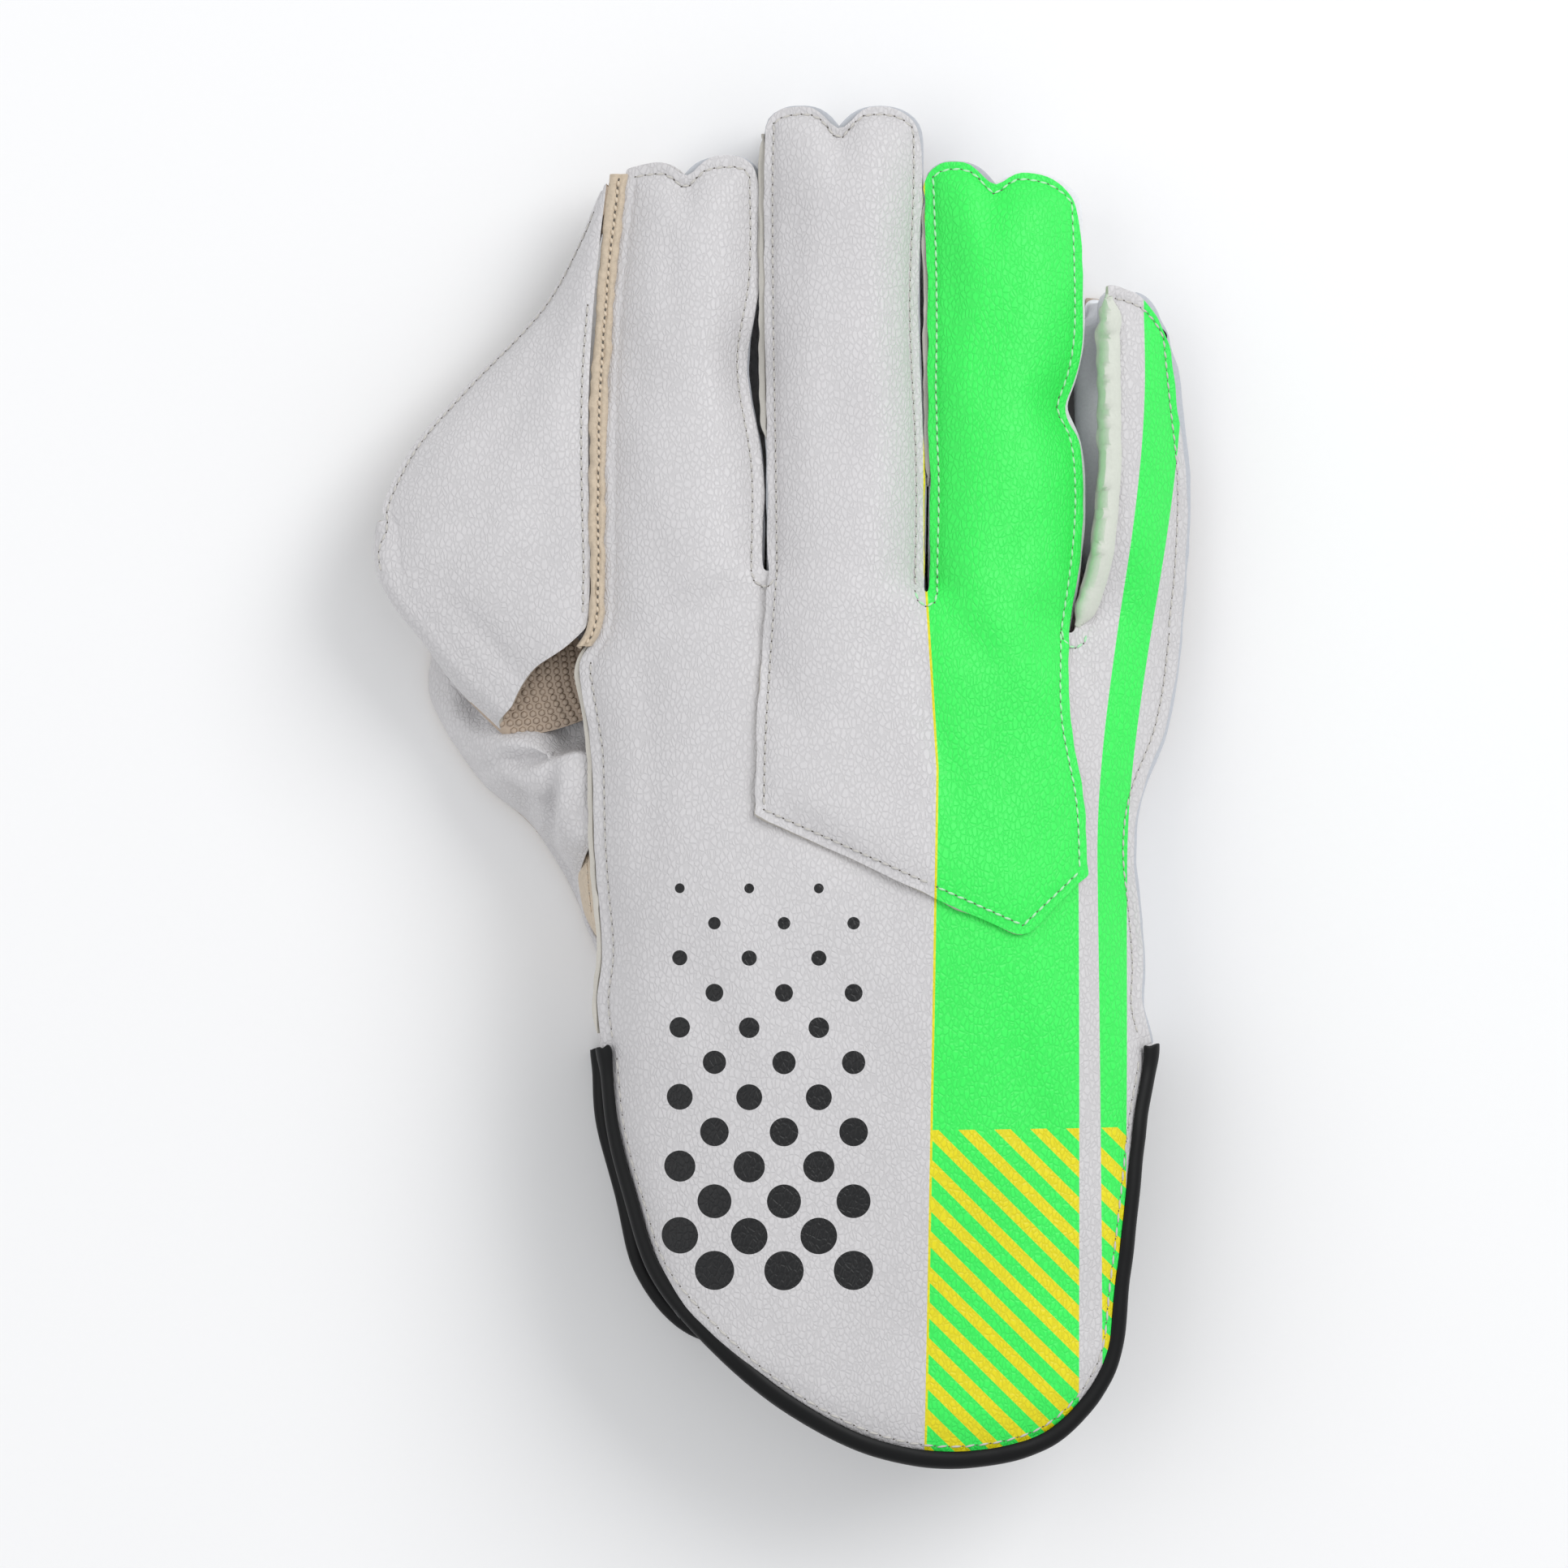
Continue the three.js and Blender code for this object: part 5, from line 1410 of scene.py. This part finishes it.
def web_pimple_places(sizes):
    """Pimples inside the open end of the web, on the facing of its return"""
    pitch = sizes.pimple_pitch / MM
    depth = (sizes.leather + sizes.facing - sizes.pimple_height) / MM + GAP
    places = []
    row, s = 0, FOLD_START
    while s < 0.995:
        length = (web_place(s, 3) - web_place(s, 2)).length
        for n in range(int(length / pitch)):
            across = 2 + (n + 0.4 + row % 2 / 2) * pitch / length
            if across < 2.97:
                along = web_place(s, min(across + 0.02, 3)) - web_place(s, across)
                places.append(pimple(web_spot(s, across, depth), along, -web_normal(s, across), sizes))
        step = (web_place(min(s + PROBE, 1), 2.5) - web_place(s, 2.5)).length
        s += PROBE * pitch * ROW_STEP / max(step, 0.2)
        row += 1
    return places


def add(tree, kind, settings=None, inputs=None, output=0):
    """Adds a node, sets its options, sets or links its inputs, and gives one of its outputs"""
    node = tree.nodes.new(kind)
    for key, value in (settings or {}).items():
        setattr(node, key, value)
    for key, value in (inputs or {}).items():
        if isinstance(value, bpy.types.NodeSocket):
            tree.links.new(value, node.inputs[key])
        else:
            node.inputs[key].default_value = value
    return node.outputs[output]


def opaque(colour):
    """A colour with its alpha"""
    return (*colour, 1.0)


def material(name, shader):
    """A material with one Principled shader, its fixed values set on its own sockets"""
    made = bpy.data.materials.get(name)
    if made:
        return made, None, None
    made = bpy.data.materials.new(name)
    made.use_nodes = True
    tree = made.node_tree
    bsdf = tree.nodes["Principled BSDF"]
    for key, value in shader.items():
        bsdf.inputs[key].default_value = value
    return made, tree, bsdf


def leather_surface(tree, bsdf, colour, place, grain):
    """Embossed grain under a colour: long bent cells with fine creases, and pores finer than they are"""
    drift = add(tree, "ShaderNodeTexNoise", None, {"Vector": place, "Scale": 0.4 / grain, "Detail": 2.0}, "Color")
    bent = add(
        tree, "ShaderNodeVectorMath", {"operation": "MULTIPLY_ADD"},
        {0: drift, 1: (grain, grain, grain), 2: place})
    long = add(
        tree, "ShaderNodeMapping", None, {"Vector": bent, "Rotation": (0, 0, 0.4), "Scale": (1.3, 0.75, 1)})
    edges = add(
        tree, "ShaderNodeTexVoronoi", {"feature": "DISTANCE_TO_EDGE"}, {"Vector": long, "Scale": 1 / grain})
    raised = add(tree, "ShaderNodeMapRange", {"interpolation_type": "SMOOTHSTEP"}, {0: edges, 2: 0.22})
    pores = add(tree, "ShaderNodeTexNoise", None, {"Vector": place, "Scale": 2.4 / grain, "Detail": 2.0})
    height = add(tree, "ShaderNodeMath", {"operation": "MULTIPLY_ADD"}, {0: pores, 1: 0.3, 2: raised})
    bump = add(tree, "ShaderNodeBump", None, {"Strength": 0.55, "Distance": 0.14 * grain, "Height": height})
    tree.links.new(bump, bsdf.inputs["Normal"])
    shade = add(tree, "ShaderNodeMapRange", None, {0: raised, 3: 0.91, 4: 1.0})
    handled = add(tree, "ShaderNodeTexNoise", None, {"Vector": place, "Scale": 28.0, "Detail": 3.0})
    worn = add(tree, "ShaderNodeMapRange", None, {0: handled, 1: 0.3, 2: 0.6, 3: 0.965, 4: 1.0})
    both = add(tree, "ShaderNodeMath", {"operation": "MULTIPLY"}, {0: shade, 1: worn})
    shaded = add(
        tree, "ShaderNodeMix", {"data_type": "RGBA", "blend_type": "MULTIPLY"}, {0: 1.0, 6: colour, 7: both}, 2)
    tree.links.new(shaded, bsdf.inputs["Base Color"])


def white_leather_finish(sizes, colours):
    """White leather of the back, web, thumb and cuff"""
    # Cowhide with a white polyurethane coat, embossed: satin, with a pebble grain
    made, tree, bsdf = material("White coated leather", LEATHER_SHADER)
    if tree:
        place = add(tree, "ShaderNodeTexCoord", output="Object")
        leather_surface(tree, bsdf, opaque(colours.white), place, sizes.grain)
    return made


def split_line(tree, y):
    """X of the straight line where the white half ends, at each place along the glove"""
    upper, lower = [
        add(tree, "ShaderNodeMath", {"operation": "MULTIPLY_ADD"}, {0: y, 1: slope, 2: start})
        for slope, start in SPLIT_LINES]
    least = add(tree, "ShaderNodeMath", {"operation": "MINIMUM"}, {0: upper, 1: lower})
    return add(tree, "ShaderNodeMath", {"operation": "MAXIMUM"}, {0: least, 1: SPLIT_LEAST})


def hatch(tree, x, y, pitch):
    """Diagonal bars of one width near the cuff"""
    along = add(tree, "ShaderNodeMath", {"operation": "ADD"}, {0: x, 1: y})
    wave = add(tree, "ShaderNodeMath", {"operation": "PINGPONG"}, {0: along, 1: pitch * 0.7})
    bar = add(tree, "ShaderNodeMath", {"operation": "GREATER_THAN"}, {0: wave, 1: pitch * 0.38})
    low = add(tree, "ShaderNodeMath", {"operation": "LESS_THAN"}, {0: y, 1: BAR_TOP})
    return add(tree, "ShaderNodeMath", {"operation": "MULTIPLY"}, {0: bar, 1: low})


def dots(tree, place, pitch):
    """Whole dots on a staggered grid, larger towards the cuff"""
    turned = add(tree, "ShaderNodeMapping", None, {"Vector": place, "Rotation": (0, 0, math.radians(45))})
    flat = add(tree, "ShaderNodeSeparateXYZ", None, {0: turned}).node
    grid = add(tree, "ShaderNodeCombineXYZ", None, {0: flat.outputs["X"], 1: flat.outputs["Y"]})
    cells = add(
        tree, "ShaderNodeTexVoronoi", {"voronoi_dimensions": "2D"},
        {"Vector": grid, "Scale": 1 / pitch, "Randomness": 0.0}).node
    back = add(
        tree, "ShaderNodeMapping", None,
        {"Vector": cells.outputs["Position"], "Rotation": (0, 0, math.radians(-45))})
    centre = add(tree, "ShaderNodeSeparateXYZ", None, {0: back}).node
    radius = add(
        tree, "ShaderNodeMapRange", None, {0: centre.outputs["Y"], 1: -0.13, 2: -0.02, 3: 0.42, 4: 0.08})
    dot = add(tree, "ShaderNodeMath", {"operation": "LESS_THAN"}, {0: cells.outputs["Distance"], 1: radius})
    for axis, low, high in DOT_LIMITS:
        for limit, test in ((low, "GREATER_THAN"), (high, "LESS_THAN")):
            inside = add(tree, "ShaderNodeMath", {"operation": test}, {0: centre.outputs[axis], 1: limit})
            dot = add(tree, "ShaderNodeMath", {"operation": "MULTIPLY"}, {0: dot, 1: inside})
    return dot


def printed_leather_finish(sizes, colours, name, full):
    """White leather with its green half, and in full with the hatch, the band and the dots"""
    # The same coated leather, screen printed: the ink lies in the grain, and a thin yellow edge shows by
    # the green
    made, tree, bsdf = material(name, LEATHER_SHADER)
    if not tree:
        return made
    place = add(tree, "ShaderNodeTexCoord", output="Object")
    plan = add(tree, "ShaderNodeSeparateXYZ", None, {0: place}).node
    x, y = plan.outputs["X"], plan.outputs["Y"]
    line = split_line(tree, y)
    edge = add(tree, "ShaderNodeMath", {"operation": "SUBTRACT"}, {0: line, 1: YELLOW_EDGE})
    masks = []
    for start in (edge, line):
        mask = add(tree, "ShaderNodeMath", {"operation": "GREATER_THAN"}, {0: x, 1: start})
        if full:
            inner = add(tree, "ShaderNodeMath", {"operation": "LESS_THAN"}, {0: x, 1: PRINT_RIGHT})
            low = add(tree, "ShaderNodeMath", {"operation": "LESS_THAN"}, {0: y, 1: PRINT_TOP})
            both = add(tree, "ShaderNodeMath", {"operation": "MULTIPLY"}, {0: inner, 1: low})
            mask = add(tree, "ShaderNodeMath", {"operation": "MULTIPLY"}, {0: mask, 1: both})
        masks.append(mask)
    yellow, green = masks
    ink = opaque(colours.green)
    layers = [(yellow, opaque(colours.yellow)), (green, ink)]
    if full:
        bend = add(
            tree, "ShaderNodeMapRange", {"interpolation_type": "SMOOTHSTEP"},
            {0: y, 1: PRINT_TOP, 2: 0.11, 3: 0.0845, 4: 0.0985})
        away = add(tree, "ShaderNodeMath", {"operation": "SUBTRACT"}, {0: x, 1: bend})
        off = add(tree, "ShaderNodeMath", {"operation": "ABSOLUTE"}, {0: away})
        width = add(tree, "ShaderNodeMapRange", None, {0: y, 1: -0.16, 2: 0.12, 3: 0.0028, 4: 0.0052})
        band = add(tree, "ShaderNodeMath", {"operation": "LESS_THAN"}, {0: off, 1: width})
        green = add(tree, "ShaderNodeMath", {"operation": "MAXIMUM"}, {0: green, 1: band})
        bars = hatch(tree, x, y, sizes.bar_pitch)
        ink = add(tree, "ShaderNodeMix", COLOUR_MIX, {0: bars, 6: ink, 7: opaque(colours.yellow)}, 2)
        spots = dots(tree, place, sizes.print_pitch)
        layers[1:] = [(green, ink), (spots, opaque(colours.black_print))]
    colour = opaque(colours.white)
    for mask, paint in layers:
        colour = add(tree, "ShaderNodeMix", COLOUR_MIX, {0: mask, 6: colour, 7: paint}, 2)
    leather_surface(tree, bsdf, colour, place, sizes.grain)
    return made


# Shader values, scale and depth of the fine texture in metres, strength of its bump and its darkest share
TEXTURES = {
    # Thin garment leather, chrome tanned: soft and almost matt
    "garment": ({"Roughness": 0.62}, 0.0007, 0.0001, 0.5, 0.8),
    # Folded edge of split leather under the seam: matt, with loose fibres
    "split": ({"Roughness": 0.8}, 0.0009, 0.0002, 0.6, 0.88),
    # Raw split leather, undyed: fibrous and matt, darker where the fibres lie open
    "raw": ({"Roughness": 0.9, "Sheen Weight": 0.15}, 0.0011, 0.0005, 0.8, 0.62),
    # Natural rubber sheet, moulded with pimples: dull, slightly uneven in colour
    "rubber": ({"Roughness": 0.6}, 0.0009, 0.00006, 0.5, 0.8),
    # Black vinyl binding tape, calendered: smooth with a soft gloss
    "vinyl": ({"Roughness": 0.45, "Specular IOR Level": 0.22}, 0.0012, 0.00005, 0.3, 0.8),
    # Brushed nylon lining: a dull nap
    "nylon": ({"Roughness": 0.95, "Sheen Weight": 0.3}, 0.0004, 0.0002, 0.6, 0.5),
    # Cut edge of the leather, undyed fibre under the coat
    "edge": ({"Roughness": 0.85}, 0.0004, 0.0001, 0.5, 0.8),
    # Bonded polyester sewing thread, twisted: a slight sheen
    "thread": ({"Roughness": 0.5, "Sheen Weight": 0.2}, 0.0003, 0.00005, 0.4, 0.8),
    # Needle holes: the shade of a hole pulled open by its thread
    "hole": ({"Roughness": 1.0}, 0.0005, 0.00002, 0.5, 0.8),
    # Uncoated paper: flat and matt
    "paper": ({"Roughness": 0.95}, 0.002, 0.00002, 0.1, 0.99),
}
# Texture and colour of each plain material
MATERIALS = {
    "Grey garment leather": ("garment", "gusset"),
    # A lighter copy of the grey garment leather: painted light on the shaded gusset beside the little finger
    "Pale garment leather": ("garment", "pale_gusset"),
    "Split leather hand": ("split", "hand_layer"),
    "Split leather middle": ("split", "finger_layer"),
    "Split leather ring": ("split", "finger_layer"),
    "Split leather little": ("split", "little_layer"),
    "Raw split leather": ("raw", "seam"),
    "Pimpled natural rubber": ("rubber", "rubber"),
    "Black vinyl": ("vinyl", "vinyl"),
    "Brushed nylon lining": ("nylon", "lining"),
    "Cut leather edge": ("edge", "welt"),
    "White bonded thread": ("thread", "thread"),
    "Thread lit by the green leather": ("thread", "green_thread"),
    "Undyed linen thread": ("thread", "seam"),
    "Needle hole shade": ("hole", "hole"),
    "Matt paper": ("paper", "floor"),
}


def fine_finish(colours, name):
    """A plain finish whose fine noise darkens and bumps it at the scale of its real texture"""
    texture, tint = MATERIALS[name]
    shader, scale, depth, strength, shade = TEXTURES[texture]
    made, tree, bsdf = material(name, shader)
    if tree:
        colour = getattr(colours, tint)
        place = add(tree, "ShaderNodeTexCoord", output="Object")
        fibre = add(tree, "ShaderNodeTexNoise", None, {"Vector": place, "Scale": 1 / scale, "Detail": 4.0})
        bump = add(tree, "ShaderNodeBump", None, {"Strength": strength, "Distance": depth, "Height": fibre})
        tree.links.new(bump, bsdf.inputs["Normal"])
        dark = opaque([c * shade for c in colour])
        mixed_colour = add(tree, "ShaderNodeMix", COLOUR_MIX, {0: fibre, 6: dark, 7: opaque(colour)}, 2)
        tree.links.new(mixed_colour, bsdf.inputs["Base Color"])
    return made


def dress(piece, *finishes):
    """Gives a piece its finish, and where there are more, those of its inner face and its cut edge"""
    for finish in finishes:
        piece.data.materials.append(finish)
    wall = piece.modifiers.get("Thickness")
    if wall and len(finishes) > 1:
        wall.material_offset = 1
        wall.material_offset_rim = len(finishes) - 1


def build_stage(colours):
    """Pale paper floor, soft studio lights and the camera straight above the glove"""
    scene = bpy.context.scene
    bm = bmesh.new()
    bmesh.ops.create_grid(bm, x_segments=8, y_segments=8, size=3.0)
    floor = new_object("floor", new_mesh(bm, "floor"))
    dress(floor, fine_finish(colours, "Matt paper"))
    lights = (
        ("Key", (1.4, 1.1, 1.7), 1.5, 29.0),
        ("Fill", (-1.6, 0.2, 1.9), 2.0, 12.0),
    )
    for name, place, size, power in lights:
        lamp = bpy.data.lights.new(name, "AREA")
        lamp.shape = "SQUARE"
        lamp.size = size
        lamp.energy = power
        holder = new_object(name, lamp, place)
        holder.rotation_euler = (-Vector(place)).to_track_quat("-Z", "Y").to_euler()
    world = bpy.data.worlds.new("Studio")
    world.use_nodes = True
    sky = world.node_tree.nodes["Background"].inputs
    sky[0].default_value = (0.93, 0.94, 0.96, 1)
    sky[1].default_value = 0.72
    scene.world = world
    camera = bpy.data.cameras.new("Camera")
    camera.lens = 178
    camera.sensor_width = 36
    camera.clip_start = 0.05
    camera.clip_end = 20
    scene.camera = new_object("Camera", camera, (0, 0, 2.03))
    scene.view_settings.view_transform = "Standard"


def sizes_and_colours(context):
    """The sizes and the colours that the scene holds"""
    return context.scene.glove_sizes, context.scene.glove_colours


class GLOVE_OT_stage(bpy.types.Operator):
    """Adds the floor, the lights and the camera"""
    bl_idname = "glove.stage"
    bl_label = "Stage"

    def execute(self, context):
        build_stage(context.scene.glove_colours)
        return {"FINISHED"}


class GLOVE_OT_back(bpy.types.Operator):
    """Builds the printed leather back and the overlay of the two long fingers"""
    bl_idname = "glove.back"
    bl_label = "Back and overlay"

    def execute(self, context):
        sizes, colours = sizes_and_colours(context)
        lining, edge = fine_finish(colours, "Brushed nylon lining"), fine_finish(colours, "Cut leather edge")
        back = printed_leather_finish(sizes, colours, "Printed coated leather", True)
        dress(back_panel(sizes), back, lining, edge)
        overlay = printed_leather_finish(sizes, colours, "Two colour coated leather", False)
        dress(finger_overlay(sizes), overlay, edge, edge)
        return {"FINISHED"}


class GLOVE_OT_palm(bpy.types.Operator):
    """Builds the rubber facings of the palm and the thumb"""
    bl_idname = "glove.palm"
    bl_label = "Palm and thumb rubber"

    def execute(self, context):
        sizes, colours = sizes_and_colours(context)
        rubber = fine_finish(colours, "Pimpled natural rubber")
        dress(palm_panel(sizes), rubber)
        dress(thumb_facing(sizes), rubber)
        for name, node in (("palm", "palm_panel"), ("thumb", "thumb_facing")):
            places = pimple_places(seam_ground("rubber_" + name), sizes)
            dress(small_shapes("pimples_" + name, node, places, "pimple"), rubber)
        return {"FINISHED"}


class GLOVE_OT_gussets(bpy.types.Operator):
    """Builds the gussets between the back and the palm"""
    bl_idname = "glove.gussets"
    bl_label = "Gussets"

    def execute(self, context):
        sizes, colours = sizes_and_colours(context)
        welt = sizes.welt / MM
        gate_top, gate_end, wrist_top = thumb_y(0.61), thumb_y(0.34), thumb_y(0)
        grey = fine_finish(colours, "Grey garment leather")
        # Lighter copy of the grey gusset leather: painted light for the shaded gusset beside the little finger
        painted_light_grey = fine_finish(colours, "Pale garment leather")
        white = white_leather_finish(sizes, colours)
        index = hand_side("left", gate_top, INDEX.left_y, 12, welt)[:-1] + stall(INDEX, "left", welt)[::-1]
        outer = stall(LITTLE, "right", welt)[:-1] + hand_side("right", LITTLE.right_y, CUFF_TOP_Y, 36, welt)
        wrist = hand_side("left", CUFF_TOP_Y, wrist_top - GAP, 10, welt)
        thumb = hand_side("left", wrist_top, gate_end, 20, 1)
        for k, each in enumerate(thumb):
            each["swell"] = THUMB_SWELL * math.sin(math.pi * k / 20) ** 0.8
        pieces = (
            ("index", "gusset_leather", index, white),
            ("index_middle", "gusset_leather", between(INDEX, MIDDLE, welt), grey),
            ("middle_ring", "gusset_leather", between(MIDDLE, RING, welt), grey),
            ("ring_little", "gusset_leather", between(RING, LITTLE, welt), painted_light_grey),
            ("outer", "gusset_leather", outer, grey),
            ("wrist", "white_leather", wrist, white),
        )
        for name, slot, stops, finish in pieces:
            dress(gusset("gusset_" + name, "side_" + name, slot, stops, sizes), finish)
        piece = gusset("gusset_thumb", "thumb_gusset", "raw_seam", thumb, sizes, 0.3, 1.0)
        dress(piece, fine_finish(colours, "Raw split leather"))
        return {"FINISHED"}


class GLOVE_OT_layers(bpy.types.Operator):
    """Builds the second layers of leather that show outside the welts"""
    bl_idname = "glove.layers"
    bl_label = "Edge layers"

    def execute(self, context):
        sizes, colours = sizes_and_colours(context)
        hand = edge_line("left", CUFF_TOP_Y + 4, HAND_LAYER_TOP, 0, LAYER_STEPS)
        layers = (
            ("hand", "white_leather", hand, (sizes.leather / MM + 0.25, 0.7)),
            ("middle", "overlay_leather", layer_spots(MIDDLE, 0.28, 0.98), (0.2, 1.5)),
            ("ring", "overlay_leather", layer_spots(RING, 0.25, 0.96), (0.2, 1.2)),
            ("little", "white_leather", layer_spots(LITTLE, 0.02, 0.97), (-0.1, 1.5, 2.6, 1.5)),
        )
        for name, slot, spots, shape in layers:
            piece = edge_layer("layer_" + name, slot, spots, *shape)
            dress(piece, fine_finish(colours, "Split leather " + name))
        return {"FINISHED"}


class GLOVE_OT_web(bpy.types.Operator):
    """Builds the web between index finger and thumb, its rubber facing and its raw seam"""
    bl_idname = "glove.web"
    bl_label = "Web"

    def execute(self, context):
        sizes, colours = sizes_and_colours(context)
        edge = fine_finish(colours, "Cut leather edge")
        dress(web_leather(sizes), white_leather_finish(sizes, colours), edge, edge)
        rubber = fine_finish(colours, "Pimpled natural rubber")
        dress(web_facing(sizes), rubber)
        places = web_pimple_places(sizes)
        dress(small_shapes("pimples_web", "web_facing", places, "pimple"), rubber)
        dress(raw_seam(), fine_finish(colours, "Raw split leather"))
        return {"FINISHED"}


class GLOVE_OT_thumb(bpy.types.Operator):
    """Builds the wrinkled leather hood of the thumb"""
    bl_idname = "glove.thumb"
    bl_label = "Thumb"

    def execute(self, context):
        sizes, colours = sizes_and_colours(context)
        dress(thumb_hood(sizes), white_leather_finish(sizes, colours))
        return {"FINISHED"}


class GLOVE_OT_cuff(bpy.types.Operator):
    """Builds the palm side of the cuff and the bindings of both cuff flaps"""
    bl_idname = "glove.cuff"
    bl_label = "Cuff"

    def execute(self, context):
        sizes, colours = sizes_and_colours(context)
        dress(palm_cuff(sizes), white_leather_finish(sizes, colours))
        dress(palm_cuff_lining(), fine_finish(colours, "Brushed nylon lining"))
        vinyl = fine_finish(colours, "Black vinyl")
        up = Vector((0, 0, 1))
        dress(binding("vinyl_back", "binding_back", cuff_rim(), sizes.leather / MM, back_normal), vinyl)
        dress(binding("vinyl_palm", "binding_palm", palm_cuff_rim(), PALM_CUFF_STACK, lambda spot: up), vinyl)
        return {"FINISHED"}


class GLOVE_OT_stitches(bpy.types.Operator):
    """Sews the seams: white thread, thread on the green half, and beige thread in the raw seam"""
    bl_idname = "glove.stitches"
    bl_label = "Stitches"

    def execute(self, context):
        sizes, colours = sizes_and_colours(context)
        thread, pitch = sizes.thread / MM, sizes.stitch_pitch / MM
        back, web = seam_ground("sewn_back", "finger_overlay_sewn"), seam_ground("web_outer")
        white, green = seam_paths(sizes)
        raw = laid([raw_seam_path()], seam_ground("raw_seam_strip"))
        base = laid([edge_line("left", **BASE_SEAM)], seam_ground("gusset_thumb"))
        threads, holes = {}, []
        for seam, kind in (
            (sewn(laid(white, back) + laid(web_paths(), web), pitch, thread), "white"),
            (sewn(laid(green, back), pitch, thread), "green"),
            (sewn(laid([cuff_path()], back), sizes.cuff_pitch / MM, thread), "white"),
            (sewn(raw, pitch * 0.8, thread * 1.5, 0.5), "seam"),
            (sewn(base, pitch, thread), "seam"),
        ):
            threads[kind] = threads.get(kind, []) + seam[0]
            holes += seam[1]
        for name, slot, places, finish in (
            ("stitches_white", "white_leather", threads["white"], "White bonded thread"),
            ("stitches_green", "overlay_leather", threads["green"], "Thread lit by the green leather"),
            ("stitches_seam", "raw_seam", threads["seam"], "Undyed linen thread"),
            ("needle_holes", "white_leather", holes, "Needle hole shade"),
        ):
            dress(small_shapes(name, None, places, "stitch"), fine_finish(colours, finish))
        return {"FINISHED"}


class GLOVE_PT_panel(bpy.types.Panel):
    """Lists the sizes, the colours and the pieces of the glove"""
    bl_idname = "GLOVE_PT_panel"
    bl_label = "Wicketkeeping glove"
    bl_space_type = "VIEW_3D"
    bl_region_type = "UI"
    bl_category = "Glove"

    def draw(self, context):
        layout = self.layout
        for group in (context.scene.glove_sizes, context.scene.glove_colours):
            for name in group.bl_rna.properties.keys():
                if name not in ("rna_type", "name"):
                    layout.prop(group, name)
        for operator in PIECE_OPERATORS:
            layout.operator(operator.bl_idname)


PIECE_OPERATORS = (
    GLOVE_OT_stage, GLOVE_OT_back, GLOVE_OT_palm, GLOVE_OT_gussets, GLOVE_OT_layers, GLOVE_OT_web,
    GLOVE_OT_thumb, GLOVE_OT_cuff, GLOVE_OT_stitches)
CLASSES = (GloveSizes, GloveColours, *PIECE_OPERATORS, GLOVE_PT_panel)


def register():
    """Adds the classes and the scene's sizes and colours"""
    for cls in CLASSES:
        bpy.utils.register_class(cls)
    bpy.types.Scene.glove_sizes = bpy.props.PointerProperty(type=GloveSizes)
    bpy.types.Scene.glove_colours = bpy.props.PointerProperty(type=GloveColours)


def unregister():
    """Takes them out again"""
    del bpy.types.Scene.glove_sizes
    del bpy.types.Scene.glove_colours
    for cls in reversed(CLASSES):
        bpy.utils.unregister_class(cls)


def main():
    """Builds the glove in order"""
    register()
    bpy.ops.glove.stage()
    bpy.ops.glove.back()
    bpy.ops.glove.palm()
    bpy.ops.glove.gussets()
    bpy.ops.glove.layers()
    bpy.ops.glove.web()
    bpy.ops.glove.thumb()
    bpy.ops.glove.cuff()
    bpy.ops.glove.stitches()
    bpy.context.view_layer.update()


if __name__ == "__main__":
    main()
